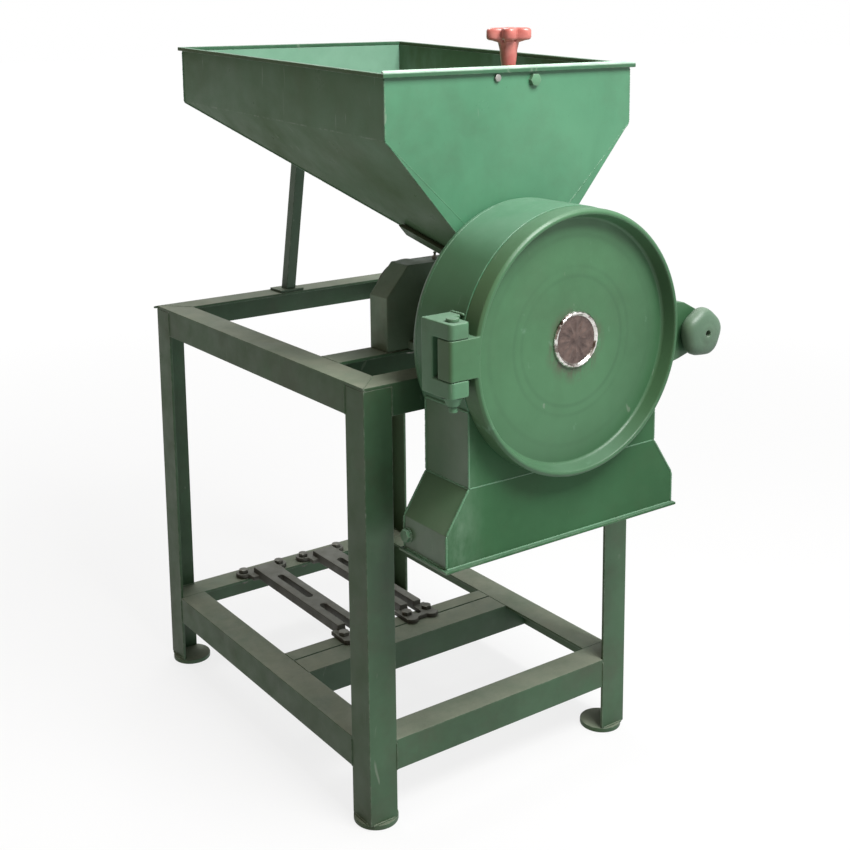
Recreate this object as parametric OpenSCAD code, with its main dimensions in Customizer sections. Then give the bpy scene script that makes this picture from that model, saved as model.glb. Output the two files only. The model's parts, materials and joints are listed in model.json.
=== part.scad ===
// Hammer mill: an angle-iron stand carries a bearing pedestal, a round grinding casing with a
// hinged dish door, a discharge skirt, and a square feed hopper with a screw-lifted feed gate.
// Millimetres. +Z is up, the door faces -Y, the discharge is at the front.

/* [Stand] */
// Overall width of the stand over its legs
stand_width = 530; // [400:5:700]
// Overall depth of the stand over its legs
stand_depth = 700; // [500:5:900]
// Height of the stand's top face above the floor
stand_height = 700; // [500:5:900]
// Leg length of the angle-iron section
angle_leg = 50; // [30:1:75]
// Thickness of the angle iron
angle_thick = 5; // [3:0.5:8]
// Height of the lower rails' top face
lower_top = 136; // [100:1:250]
// Diameter of the round foot pads
pad_diameter = 70; // [50:1:90]
// Thickness of the foot pads
pad_thick = 8; // [4:1:15]
// Distance of each pad's centre inside the leg's outer corner
pad_inset = 28; // [20:1:40]
// Position of the lower cross rail's front face behind the stand's centre
lower_cross_y = -91; // [-150:1:50]
// Position of the upper cross rail's rear face behind the stand's centre
upper_cross_y = -155; // [-250:1:-50]

/* [Motor slide rails] */
// Centre of the left slide rail
slide_left_x = -80; // [-150:1:-50]
// Centre of the right slide rail
slide_right_x = 57; // [30:1:150]
// Width of each slide rail
slide_width = 46; // [30:1:60]
// Thickness of the slide rails
slide_thick = 18; // [10:1:24]
// Width of the belt-tension slots
slot_width = 13; // [9:1:18]
// Length of each belt-tension slot
slot_length = 120; // [60:1:130]
// Rear end of the front slot behind the stand's centre
slot_bridge = 88; // [70:1:110]

/* [Casing] */
// Sideways position of the mill's centre line
mill_x = -10; // [-40:1:40]
// Height of the rotor axis
axis_z = 763; // [700:1:900]
// Outer radius of the round casing
drum_radius = 195; // [150:1:250]
// Wall thickness of the round casing
drum_wall = 6; // [3:1:10]
// Front joint plane of the casing, in front of the stand's centre
joint_plane = 499; // [450:1:550]
// Rear face of the casing, in front of the stand's centre
drum_back = 382; // [340:1:430]
// Rear face of the discharge skirt, in front of the stand's centre
skirt_back = 398; // [350:1:450]
// Half width of the discharge neck
neck_half = 180; // [140:1:195]
// Half width of the discharge outlet
outlet_half = 220; // [180:1:260]
// Height where the neck starts to flare
flare_top = 577; // [540:1:620]
// Height where the flare ends
flare_bottom = 517; // [480:1:560]
// Height of the outlet's lower edge
outlet_z = 468; // [420:1:520]
// Plate thickness of the skirt
skirt_wall = 5; // [3:0.5:8]

/* [Door] */
// Outer radius of the door
door_radius = 194; // [150:1:194]
// Depth of the door from rim face to joint plane
door_depth = 34; // [20:1:50]
// Radial width of the raised rim
rim_width = 12; // [8:1:30]
// Depth of the recessed disc behind the rim face
dish_depth = 23; // [8:1:24]
// Plate thickness of the recessed disc
dish_plate = 5; // [4:1:8]
// Diameter of the round badge near the centre
badge_diameter = 84; // [60:1:120]
// How far the badge sits to the right of the door's centre
badge_right = 5; // [0:1:10]
// How far the badge sits above the door's centre
badge_up = 2; // [0:1:10]
// Position of the hinge pin to the left of the stand's centre
hinge_x = 230; // [215:1:245]
// Diameter of the hinge pin
hinge_pin_diameter = 12; // [8:0.5:16]
// Position of the latch screw to the right of the stand's centre
latch_x = 228; // [215:1:245]
// Height of the latch screw
latch_z = 746; // [700:1:800]
// Diameter of the latch hand knob
latch_knob_diameter = 76; // [50:1:80]
// Diameter of the latch screw
latch_screw_diameter = 16; // [12:0.5:20]

/* [Hopper] */
// Half width of the hopper over its sheet
hopper_half = 232; // [180:1:280]
// Rear face of the hopper behind the stand's centre
hopper_rear = 244; // [150:1:300]
// Height of the rim at the front
rim_z = 1148; // [1100:1:1250]
// How much higher the rim is at the rear
rim_rise = 30; // [0:1:60]
// Height of the bend line at the front
bend_z = 1055; // [1000:1:1120]
// How much higher the bend line is at the rear
bend_rise = 28; // [0:1:60]
// Height of the hopper's lowest edge at the front
chute_z = 848; // [820:1:900]
// Half width of the hopper's lowest edge
chute_half = 53; // [50:1:80]
// Thickness of the hopper sheet
sheet = 2.5; // [1.5:0.5:5]
// Overhang of the rim lip outside the sheet
lip = 6.5; // [3:0.5:15]
// Thickness of the rim lip
lip_thick = 6; // [2:0.5:8]
// Wall thickness of the inlet throat around the hopper's lower end
throat_wall = 9; // [6:1:16]
// How far the inlet throat laps up the hopper's sides
throat_lap = 8; // [5:1:60]
// Rear end of the inlet throat, in front of the stand's centre
throat_rear = 238; // [180:1:300]
// Leg length of the hopper strut's angle section
strut_leg = 20; // [16:1:40]

/* [Feed gate] */
// Position of the gate screw in front of the stand's centre
gate_screw_y = 366; // [360:1:370]
// Diameter of the gate screw
gate_screw_diameter = 12; // [8:0.5:16]
// Overall diameter of the star knob
star_diameter = 68; // [56:1:90]
// Height of the star knob's top
star_top = 1207; // [1180:1:1260]
// Top of the feed opening
feed_top = 920; // [900:1:925]
// Bottom of the feed opening
feed_bottom = 857; // [856:1:880]
// Half width of the feed opening
feed_half = 46; // [30:1:48]

/* [Rotor] */
// Diameter of the shaft in the bearings
shaft_diameter = 40; // [30:1:50]
// Diameter of the shaft under the hub and the pulley
seat_diameter = 35; // [25:1:39]
// Radius of the rotor discs
disc_radius = 112; // [100:1:130]
// Thickness of the rotor discs
disc_thick = 10; // [6:1:14]
// Radius of the hammer pins' circle
pin_circle = 98; // [90:1:110]
// Diameter of the hammer pins
hammer_pin_diameter = 16; // [10:0.5:20]
// Reach of a hammer from its pin to its tip
hammer_reach = 66; // [50:1:70]
// Width of a hammer
hammer_width = 32; // [20:1:36]
// Length of a hammer along the shaft
hammer_thick = 40; // [20:1:46]
// Half width of the rear bearing block on the cross rail
cheek_half = 112; // [80:1:130]
// Height of the rear bearing block above the rotor axis
cheek_top = 73; // [60:1:90]
// Pulley diameter
pulley_diameter = 120; // [90:1:180]
// Pulley width
pulley_width = 50; // [30:1:70]

/* [Hidden] */
$fn = 72;
eps = 0.01;
sx = stand_width / 2;
sy = stand_depth / 2;
fl = angle_leg;
ft = angle_thick;
jp = -joint_plane;
db = -drum_back;
sb = -skirt_back;
dr_in = drum_radius - drum_wall;
screen_out = dr_in - 13;
door_front = jp - door_depth;
pad_r = pad_diameter / 2;
knob_front = door_front - 18;
ear_front = door_front + 13;
y_mid = (knob_front + sy - pad_inset + pad_r) / 2;
dish_face = door_depth - dish_depth;
hinge_y = door_front + 17;
lug_low = [722, 745.5];
lug_high = [802.5, 825];
drum_round = 14;
back_deep = sb - db;
gap = 0.06;
rotor_front = jp + 11;
rotor_back = rotor_front + 2 * disc_thick + 50;
brg_w = 18;
brg_r = shaft_diameter;
front_brg_y = db + 16;
rear_brg_y = upper_cross_y - 21;
cap_y = upper_cross_y;
pulley_y = -140;
bore_in = shaft_diameter / 2;
seat_r = seat_diameter / 2;
hl = hopper_rear - db;
strut_y0 = sy - 28;
strut_angle = atan((strut_y0 - hopper_rear) / (bend_z + bend_rise - stand_height));
bolt_z = 1130;
nipple_spots = [[front_brg_y + 9, axis_z + 53], [rear_brg_y - 4, axis_z + cheek_top]];
green = [0.31, 0.52, 0.38];
dark_green = [0.22, 0.36, 0.27];
iron = [0.2, 0.2, 0.18];
steel = [0.55, 0.56, 0.57];
zinc = [0.7, 0.7, 0.68];
red = [0.72, 0.2, 0.17];

// The whole mill is centred over its footprint.
module place() translate([0, -y_mid, 0]) children();
// Cylinder along Y between two Y values, at a sideways position and height.
module ycyl(r, y0, y1, x = 0, z = 0) translate([x, y1, z]) rotate([90, 0, 0]) cylinder(r = r, h = y1 - y0);
// Cylinder along Z.
module zcyl(r, z0, z1, x = 0, y = 0) translate([x, y, z0]) cylinder(r = r, h = z1 - z0);
// Shape drawn in X and Z, extruded along Y.
module yext(y0, y1) translate([0, y1, 0]) rotate([90, 0, 0]) linear_extrude(y1 - y0) children();
// Box between two corners.
module box(a, b) translate(a) cube([b[0] - a[0], b[1] - a[1], b[2] - a[2]]);
// Hexagon bar along Y or Z.
module yhex(af, y0, y1, x = 0, z = 0)
  translate([x, y1, z]) rotate([90, 0, 0]) cylinder(r = af / 2 / cos(30), h = y1 - y0, $fn = 6);
module zhex(af, z0, z1, x = 0, y = 0)
  translate([x, y, z0]) cylinder(r = af / 2 / cos(30), h = z1 - z0, $fn = 6);
// Bolt down through a stack: head above the stack, nut below it.
module zbolt(x, y, ztop, zbot, r, af, head) {
  zcyl(r, zbot - head - 3, ztop + eps, x, y);
  zhex(af, ztop, ztop + head, x, y);
  zhex(af, zbot - head, zbot, x, y);
}

// ---------- stand ----------
module leg(ix, iy) {
  translate([ix * sx, iy * sy, pad_thick])
    linear_extrude(stand_height - ft - pad_thick)
      polygon([[0, 0], [-ix * fl, 0], [-ix * fl, -iy * ft],
               [-ix * ft, -iy * ft], [-ix * ft, -iy * fl], [0, -iy * fl]]);
}
module leg_front_left() color(dark_green) place() leg(-1, -1);
module leg_front_right() color(dark_green) place() leg(1, -1);
module leg_rear_left() color(dark_green) place() leg(-1, 1);
module leg_rear_right() color(dark_green) place() leg(1, 1);
module foot_pads() color(dark_green) place()
  for (ix = [-1, 1])
    for (iy = [-1, 1])
      zcyl(pad_r, 0, pad_thick, ix * (sx - pad_inset), iy * (sy - pad_inset));
// Upper rail across X: a mitred top flange over the legs and an outer flange between them.
module upper_x_rail(iy) {
  translate([0, 0, stand_height - ft])
    linear_extrude(ft)
      polygon([[-sx, iy * sy], [sx, iy * sy], [sx - fl, iy * (sy - fl)], [-sx + fl, iy * (sy - fl)]]);
  box([-sx + fl, min(iy * sy, iy * (sy - ft)), stand_height - fl],
      [sx - fl, max(iy * sy, iy * (sy - ft)), stand_height - ft]);
}
module housing_hole_set() {
  for (dx = [-52, 52])
    for (y = [-sy + fl / 2, upper_cross_y - fl / 2])
      zcyl(6.5, stand_height - 20, stand_height + 20, mill_x + dx, y);
}
module upper_rail_front() color(dark_green) place() difference() {
  upper_x_rail(-1);
  housing_hole_set();
}
module upper_rail_rear() color(dark_green) place() {
  upper_x_rail(1);
  translate([0, 0, stand_height - ft]) linear_extrude(ft)
    polygon([[-sx + 2, sy - 2], [-sx - 7, sy], [-sx + 2, sy]]);
}
module upper_rails_side() color(dark_green) place()
  for (ix = [-1, 1]) {
    translate([0, 0, stand_height - ft])
      linear_extrude(ft)
        polygon([[ix * sx, -sy], [ix * sx, sy], [ix * (sx - fl), sy - fl], [ix * (sx - fl), -sy + fl]]);
    box([min(ix * sx, ix * (sx - ft)), -sy + fl, stand_height - fl],
        [max(ix * sx, ix * (sx - ft)), sy - fl, stand_height - ft]);
  }
module upper_cross_rail() color(dark_green) place() difference() {
  union() {
    box([-sx + fl, upper_cross_y - fl, stand_height - ft], [sx - fl, upper_cross_y, stand_height]);
    box([-sx + ft, upper_cross_y - ft, stand_height - fl], [sx - ft, upper_cross_y, stand_height - ft]);
  }
  housing_hole_set();
}
module lower_x_rail(iy) {
  box([-sx + fl, min(iy * sy, iy * (sy - fl)), lower_top - ft],
      [sx - fl, max(iy * sy, iy * (sy - fl)), lower_top]);
  box([-sx + ft, min(iy * (sy - ft), iy * (sy - fl)), lower_top - ft],
      [sx - ft, max(iy * (sy - ft), iy * (sy - fl)), lower_top]);
  box([-sx + fl, min(iy * sy, iy * (sy - ft)), lower_top - fl],
      [sx - fl, max(iy * sy, iy * (sy - ft)), lower_top]);
}
module lower_rail_front() color(dark_green) place() lower_x_rail(-1);
module lower_rail_rear() color(dark_green) place() difference() {
  lower_x_rail(1);
  slide_holes();
}
module lower_rails_side() color(dark_green) place()
  for (ix = [-1, 1]) {
    box([min(ix * sx, ix * (sx - fl)), -sy + fl, lower_top - ft],
        [max(ix * sx, ix * (sx - fl)), sy - fl, lower_top]);
    box([min(ix * sx, ix * (sx - ft)), -sy + fl, lower_top - fl],
        [max(ix * sx, ix * (sx - ft)), sy - fl, lower_top]);
  }
module lower_cross_rail() color(dark_green) place() {
  box([-sx + fl, lower_cross_y, lower_top - ft], [sx - fl, lower_cross_y + fl, lower_top]);
  box([-sx + ft, lower_cross_y, lower_top - fl], [sx - ft, lower_cross_y + ft, lower_top - ft]);
}
module slide_support_bar() color(dark_green) place() difference() {
  box([-sx + fl, lower_cross_y + fl + 3, lower_top - ft], [sx - fl, lower_cross_y + fl + 33, lower_top]);
  slide_holes();
}
slide_front = lower_cross_y + fl - 10;
slide_back = sy - 12;
front_bolt_y = lower_cross_y + fl + 18;
rear_bolt_y = sy - 32;
module slide_holes(r = 5.5) {
  for (x = [slide_left_x, slide_right_x]) {
    for (dx = [-22, 22]) zcyl(r, lower_top - 20, lower_top + 40, x + dx, front_bolt_y);
    for (dx = [-40, 40]) zcyl(r, lower_top - 20, lower_top + 40, x + dx, rear_bolt_y);
  }
}
module slot(x, y0, y1) {
  box([x - slot_width / 2, y0 + slot_width / 2, lower_top - 1],
      [x + slot_width / 2, y1 - slot_width / 2, lower_top + 40]);
  zcyl(slot_width / 2, lower_top - 1, lower_top + 40, x, y0 + slot_width / 2);
  zcyl(slot_width / 2, lower_top - 1, lower_top + 40, x, y1 - slot_width / 2);
}
// A cast slide rail: a raised slotted track between two eared feet.
module slide_rail(x) difference() {
  union() {
    box([x - slide_width / 2, slide_front + 46, lower_top],
        [x + slide_width / 2, slide_back - 30, lower_top + slide_thick]);
    box([x - 34, slide_front + 8, lower_top], [x + 34, slide_front + 52, lower_top + 8]);
    for (dx = [-1, 1]) zcyl(12, lower_top, lower_top + 8, x + dx * 22, slide_front + 12);
    box([x - 36, slide_back - 54, lower_top], [x + 36, slide_back - 10, lower_top + 8]);
    for (dx = [-1, 1]) zcyl(15, lower_top, lower_top + 8, x + dx * 40, rear_bolt_y);
  }
  slide_holes();
  slot(x, slot_bridge - slot_length, slot_bridge);
  slot(x, slot_bridge + 37, slot_bridge + 37 + slot_length);
}
module slide_rail_left() color(iron) place() slide_rail(slide_left_x);
module slide_rail_right() color(iron) place() slide_rail(slide_right_x);
module slide_rail_bolts() color(zinc) place()
  for (x = [slide_left_x, slide_right_x]) {
    for (dx = [-22, 22]) zbolt(x + dx, front_bolt_y, lower_top + 8, lower_top - ft, 5, 17, 6.5);
    for (dx = [-40, 40]) zbolt(x + dx, rear_bolt_y, lower_top + 8, lower_top - ft, 5, 17, 6.5);
  }

// ---------- bearing pedestal ----------
module bearing_housing() color(iron) place() difference() {
  union() {
    ycyl(46, db + 8, cap_y, mill_x, axis_z);
    ycyl(53, db + 8, db + 40, mill_x, axis_z);
    ycyl(53, cap_y - 28, cap_y, mill_x, axis_z);
    ycyl(74, db, db + 10, mill_x, axis_z);
    box([mill_x - 70, -sy + 2, stand_height], [mill_x + 70, upper_cross_y, stand_height + 13]);
    box([mill_x - 15, -sy + 3, stand_height + 12], [mill_x + 15, upper_cross_y - 10, axis_z - 30]);
    yext(upper_cross_y - fl + 2, upper_cross_y)
      polygon([[mill_x - cheek_half, stand_height], [mill_x - cheek_half, axis_z + 25],
               [mill_x - cheek_half + 42, axis_z + cheek_top], [mill_x + cheek_half - 42, axis_z + cheek_top],
               [mill_x + cheek_half, axis_z + 25], [mill_x + cheek_half, stand_height]]);
    for (y = [-sy + 2, -sy + 90])
      yext(y, y + 10)
        polygon([[mill_x - 60, stand_height + 12], [mill_x + 60, stand_height + 12],
                 [mill_x + 38, axis_z - 12], [mill_x - 38, axis_z - 12]]);
  }
  ycyl(brg_r, front_brg_y, cap_y + 1, mill_x, axis_z);
  ycyl(23, db - 1, front_brg_y + 1, mill_x, axis_z);
  housing_hole_set();
  for (a = [45:90:315])
    ycyl(5.5, db - 1, db + 12, mill_x + 62 * cos(a), axis_z + 62 * sin(a));
  for (a = [45:90:315])
    ycyl(3, cap_y - 16, cap_y + 1, mill_x + 47 * cos(a), axis_z + 47 * sin(a));
  for (p = nipple_spots) zcyl(3, p[1] - 9, p[1] + 30, mill_x, p[0]);
}
module bearing_cap() color(iron) place() difference() {
  union() {
    ycyl(53, cap_y, cap_y + 6, mill_x, axis_z);
    ycyl(34, cap_y, cap_y + 10, mill_x, axis_z);
  }
  ycyl(bore_in + 1, cap_y - 1, cap_y + 11, mill_x, axis_z);
  for (a = [45:90:315])
    ycyl(3.3, cap_y - 1, cap_y + 11, mill_x + 47 * cos(a), axis_z + 47 * sin(a));
}
module cap_screws() color(zinc) place()
  for (a = [45:90:315]) {
    ycyl(3, cap_y - 14, cap_y + 6 + eps, mill_x + 47 * cos(a), axis_z + 47 * sin(a));
    yhex(10, cap_y + 6, cap_y + 10, mill_x + 47 * cos(a), axis_z + 47 * sin(a));
  }
module housing_bolts() color(zinc) place()
  for (dx = [-52, 52]) {
    zbolt(mill_x + dx, -sy + fl / 2, stand_height + 13, stand_height - ft, 6, 18, 7.5);
    zcyl(6, stand_height - ft - eps, stand_height + 18, mill_x + dx, upper_cross_y - fl / 2);
    zhex(18, stand_height - ft - 7.5, stand_height - ft, mill_x + dx, upper_cross_y - fl / 2);
  }
module grease_nipples() color(zinc) place()
  for (p = nipple_spots) {
    zcyl(3, p[1] - 8, p[1] + eps, mill_x, p[0]);
    zhex(9, p[1], p[1] + 5, mill_x, p[0]);
    zcyl(3, p[1] + 5, p[1] + 12, mill_x, p[0]);
  }
module ring_y(ro, ri, y0, y1) difference() {
  ycyl(ro, y0, y1, mill_x, axis_z);
  ycyl(ri, y0 - 1, y1 + 1, mill_x, axis_z);
}
module bearing_outer_races() color(steel) place()
  for (y = [front_brg_y, rear_brg_y]) ring_y(brg_r, 34, y, y + brg_w);
module bearing_inner_rings() color(steel) place()
  for (y = [front_brg_y, rear_brg_y]) ring_y(22.8, bore_in, y, y + brg_w);
module bearing_rollers() color(steel) place()
  for (y = [front_brg_y, rear_brg_y])
    for (i = [0:11])
      ycyl(5.5, y + 3, y + brg_w - 3, mill_x + 28.4 * cos(i * 30), axis_z + 28.4 * sin(i * 30));

// ---------- casing ----------
module at_axis() translate([mill_x, axis_z]) children();
neck_z = axis_z - sqrt(drum_radius * drum_radius - neck_half * neck_half);
module neck_shape(inset, top) {
  n = neck_half - inset;
  o = outlet_half - inset;
  translate([mill_x, 0])
    polygon([[-n, top], [-n, flare_top], [-o, flare_bottom], [-o, outlet_z],
             [o, outlet_z], [o, flare_bottom], [n, flare_top], [n, top]]);
}
module casing_drum() color(green) place() difference() {
  ring_y(drum_radius, dr_in, jp, sb);
  yext(jp - 1, sb) translate([mill_x - 300, neck_z - 500]) square([600, 500]);
}
// The casing's rear half: a flat plate turned forward into a short rim with a large outer radius.
module casing_back_plate() color(green) place() difference() {
  translate([mill_x, db, axis_z]) rotate([90, 0, 0])
    rotate_extrude() difference() {
      union() {
        square([drum_radius - drum_round, -back_deep]);
        translate([drum_radius - drum_round, drum_round]) intersection() {
          circle(r = drum_round);
          translate([0, -drum_round]) square(drum_round);
        }
        translate([drum_radius - drum_round, drum_round]) square([drum_round, -back_deep - drum_round]);
      }
      translate([-1, 6]) square([dr_in + 1, 20]);
    }
  ycyl(24, db - 10, db + 1, mill_x, axis_z);
  feed_cut(db - 10, db + 1);
  for (a = [45:90:315])
    ycyl(5.5, db - 10, db + 1, mill_x + 62 * cos(a), axis_z + 62 * sin(a));
}
module feed_cut(y0, y1) box([mill_x - feed_half, y0, feed_bottom], [mill_x + feed_half, y1, feed_top]);
module back_plate_bolts() color(zinc) place()
  for (a = [45:90:315]) {
    x = mill_x + 62 * cos(a);
    z = axis_z + 62 * sin(a);
    ycyl(5, db - 6 - eps, db + 18, x, z);
    yhex(16, db - 12, db - 6, x, z);
    yhex(16, db + 10, db + 17, x, z);
  }
module discharge_skirt() color(green) place() {
  difference() {
    union() {
      yext(jp, jp + skirt_wall) neck_shape(0, neck_z);
      yext(sb - skirt_wall, sb) neck_shape(0, neck_z);
      yext(jp, sb) difference() {
        neck_shape(0, neck_z);
        translate([0, -eps]) neck_shape(skirt_wall, neck_z + 1);
        translate([mill_x - outlet_half + skirt_wall, outlet_z - 1])
          square([2 * (outlet_half - skirt_wall), 2]);
      }
    }
    ycyl(screen_out, jp - 1, jp + skirt_wall + 1, mill_x, axis_z);
    ycyl(drum_radius, sb - skirt_wall - 1, sb + 1, mill_x, axis_z);
  }
  difference() {
    box([mill_x - outlet_half - 6, jp - 6, outlet_z - 4], [mill_x + outlet_half + 6, sb + 6, outlet_z]);
    box([mill_x - outlet_half + skirt_wall, jp + skirt_wall, outlet_z - 5],
        [mill_x + outlet_half - skirt_wall, sb - skirt_wall, outlet_z + 1]);
  }
}
module screen() color(steel) place() difference() {
  ring_y(screen_out, screen_out - 3, jp + 1, db - 6.5);
  yext(jp - 1, db) translate([mill_x - 300, axis_z - 6]) square([600, 500]);
  for (row = [0:4])
    for (k = [0:16]) {
      a = 196 + k * 9.25 + (row % 2) * 4.6;
      translate([mill_x, jp + 16 + row * 19, axis_z]) rotate([0, -a, 0])
        translate([screen_out - 8, 0, 0]) rotate([0, 90, 0]) cylinder(r = 4, h = 12);
    }
}
module toothed_liner() color(iron) place() difference() {
  union() {
    ring_y(dr_in, screen_out, jp + 1, db - 6.5);
    for (k = [0:17])
      translate([mill_x, 0, axis_z]) rotate([0, -5 - k * 10, 0])
        box([screen_out - 4, jp + 1, -4], [screen_out + 2, db - 6.5, 4]);
  }
  yext(jp - 1, db) translate([mill_x - 300, axis_z - 506]) square([600, 500]);
}
module hinge_bracket() color(green) place() difference() {
  union() {
    box([-hinge_x - 16, hinge_y + 25, lug_low[0]], [mill_x - 160, hinge_y + 50, lug_high[1]]);
    for (z = [lug_low, lug_high]) {
      box([-hinge_x - 16, hinge_y - 9, z[0]], [-hinge_x + 18, hinge_y + 26, z[1]]);
      box([-hinge_x - 8, door_front, z[0]], [-hinge_x + 10, hinge_y, z[1]]);
      for (x = [-8, 10]) zcyl(8, z[0], z[1], -hinge_x + x, door_front + 8);
    }
    translate([-hinge_x, hinge_y, lug_low[0] - 14]) cylinder(r1 = 8, r2 = 14, h = 14);
  }
  ycyl(drum_radius, jp - 1, db, mill_x, axis_z);
  zcyl(hinge_pin_diameter / 2, 690, 850, -hinge_x, hinge_y);
}
module hinge_pin() color(green) place() {
  zcyl(hinge_pin_diameter / 2, lug_low[0] - 22, lug_high[1], -hinge_x, hinge_y);
  zcyl(hinge_pin_diameter / 2 + 3, lug_high[1], lug_high[1] + 5, -hinge_x, hinge_y);
}
module latch_bracket() color(green) place() difference() {
  union() {
    box([mill_x + 160, jp + 2, latch_z - 24], [latch_x, jp + 29, latch_z + 24]);
    ycyl(24, jp + 2, jp + 29, latch_x, latch_z);
  }
  ycyl(drum_radius, jp - 1, db, mill_x, axis_z);
  ycyl(latch_screw_diameter / 2 + 2.5, jp, jp + 40, latch_x, latch_z);
}

// ---------- door ----------
// A shallow turned groove in the dish face, with soft shoulders.
function dish_groove(r) =
  [[r + 5, dish_face], [r + 2, dish_face - 0.5], [r - 2, dish_face - 0.5], [r - 5, dish_face]];
module door() color(green) place() difference() {
  union() {
    translate([mill_x, jp, axis_z]) rotate([90, 0, 0])
      rotate_extrude()
        polygon(concat([[0, dish_face - dish_plate], [door_radius - rim_width, dish_face - dish_plate],
                 [door_radius - rim_width, 0], [door_radius, 0], [door_radius, door_depth - 4],
                 [door_radius - 4, door_depth], [door_radius - 7, door_depth],
                 [door_radius - 9, door_depth - 1.5],
                 [door_radius - rim_width - 1, dish_face + 3], [door_radius - rim_width - 4, dish_face]],
                 dish_groove(153), dish_groove(109), dish_groove(95), [[0, dish_face]]));
    difference() {
      union() {
        box([-hinge_x - 10, door_front, lug_low[1] + 0.5], [mill_x - 150, jp - 1, lug_high[0] - 0.5]);
        box([-hinge_x - 16, door_front + 6, lug_low[1] + 0.5], [-hinge_x, jp - 7, lug_high[0] - 0.5]);
        for (y = [door_front + 6, jp - 7]) zcyl(6, lug_low[1] + 0.5, lug_high[0] - 0.5, -hinge_x - 10, y);
        yext(ear_front, jp - 1)
          polygon([[mill_x + 150, latch_z - 52], [latch_x - 30, latch_z - 40], [latch_x + 2, latch_z - 31],
                   [latch_x + 14, latch_z + 28], [latch_x - 20, latch_z + 46], [mill_x + 150, latch_z + 58]]);
        ycyl(31, ear_front, jp - 1, latch_x, latch_z);
      }
      ycyl(door_radius - 6, door_front - 1, jp + 1, mill_x, axis_z);
    }
  }
  zcyl(hinge_pin_diameter / 2 + gap, 690, 850, -hinge_x, hinge_y);
  ycyl(latch_screw_diameter / 2 + 0.3, door_front - 1, jp + 1, latch_x, latch_z);
}
module badge() color(zinc) place() translate([badge_right, door_front + dish_depth, badge_up]) {
  difference() {
    ycyl(badge_diameter / 2, -3, 0, mill_x, axis_z);
    ycyl(badge_diameter / 2 - 11, -4, -2, mill_x, axis_z);
  }
  for (a = [45:90:315])
    ycyl(3, -5, -2.9, mill_x + (badge_diameter / 2 - 5.5) * cos(a), axis_z + (badge_diameter / 2 - 5.5) * sin(a));
}
module latch_washer() color(zinc) place() difference() {
  ycyl(20, ear_front - 3, ear_front, latch_x, latch_z);
  ycyl(latch_screw_diameter / 2 + 0.3, ear_front - 4, ear_front + 1, latch_x, latch_z);
}
module latch_screw() color(zinc) place()
  ycyl(latch_screw_diameter / 2, knob_front + 8, jp + 27, latch_x, latch_z);
module latch_knob() color(green) place() difference() {
  translate([latch_x, ear_front - 3, latch_z]) rotate([90, 0, 0])
    rotate_extrude()
      polygon([[0, 0], [24, 0], [latch_knob_diameter / 2 - 3, 3], [latch_knob_diameter / 2, 8],
               [latch_knob_diameter / 2, 19], [latch_knob_diameter / 2 - 5, 25],
               [14, 28], [0, 28]]);
  ycyl(latch_screw_diameter / 2, knob_front + 8, ear_front, latch_x, latch_z);
  ycyl(5, knob_front - 1, knob_front + 9, latch_x, latch_z);
}

// ---------- hopper ----------
// Heights of the rim underside and of the bend line at a given Y.
function top_at(y) = rim_z - lip_thick + rim_rise * (y - db) / hl;
function bend_at(y) = bend_z + bend_rise * (y - db) / hl;
// Points on the hopper's lower side edge, from the front outlet to the rear corner.
function edge_x(y) = chute_half + (hopper_half - chute_half) * (y - db) / hl;
function edge_z(y) = chute_z + (bend_z + bend_rise - chute_z) * (y - db) / hl;
side_slope = (hopper_half - chute_half) / (bend_z - chute_z);
back_slope = (bend_z + bend_rise - chute_z) / hl;
side_up = sheet * tan(atan(side_slope) / 2);
front_y = db + sheet;
low_up = side_up + (back_slope - bend_rise / hl) * sheet;
low_in = sheet * sqrt(1 + side_slope * side_slope) - low_up * side_slope;
// A flat plate between an outer outline and an inner outline with the same number of corners.
module plate(o, i) {
  n = len(o);
  polyhedron(points = concat(o, i),
    faces = concat([[for (k = [0:n - 1]) k]], [[for (k = [0:n - 1]) 2 * n - 1 - k]],
      [for (k = [0:n - 1]) [(k + 1) % n, k, n + k, n + (k + 1) % n]]));
}
module hopper_side() {
  hi = hopper_half - sheet;
  ri = hopper_rear - sheet;
  zr = bend_at(hopper_rear);
  plate([[-hopper_half, front_y, top_at(front_y)], [-hopper_half, hopper_rear, top_at(hopper_rear)],
         [-hopper_half, hopper_rear, zr], [-hopper_half, front_y, bend_at(front_y)]],
        [[-hi, front_y, top_at(front_y)], [-hi, ri, top_at(ri)],
         [-hi, ri, bend_at(ri) + side_up], [-hi, front_y, bend_at(front_y) + side_up]]);
  plate([[-hopper_half, front_y, bend_at(front_y)], [-hopper_half, hopper_rear, zr],
         [-edge_x(front_y), front_y, edge_z(front_y)]],
        [[-hi, front_y, bend_at(front_y) + side_up], [-hi, ri, bend_at(ri) + side_up],
         [-edge_x(front_y) + low_in, front_y, edge_z(front_y) + low_up]]);
}
module hopper_left_wall() color(green) place() translate([mill_x, 0, 0]) hopper_side();
module hopper_right_wall() color(green) place() translate([mill_x, 0, 0]) mirror([1, 0, 0]) hopper_side();
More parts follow.
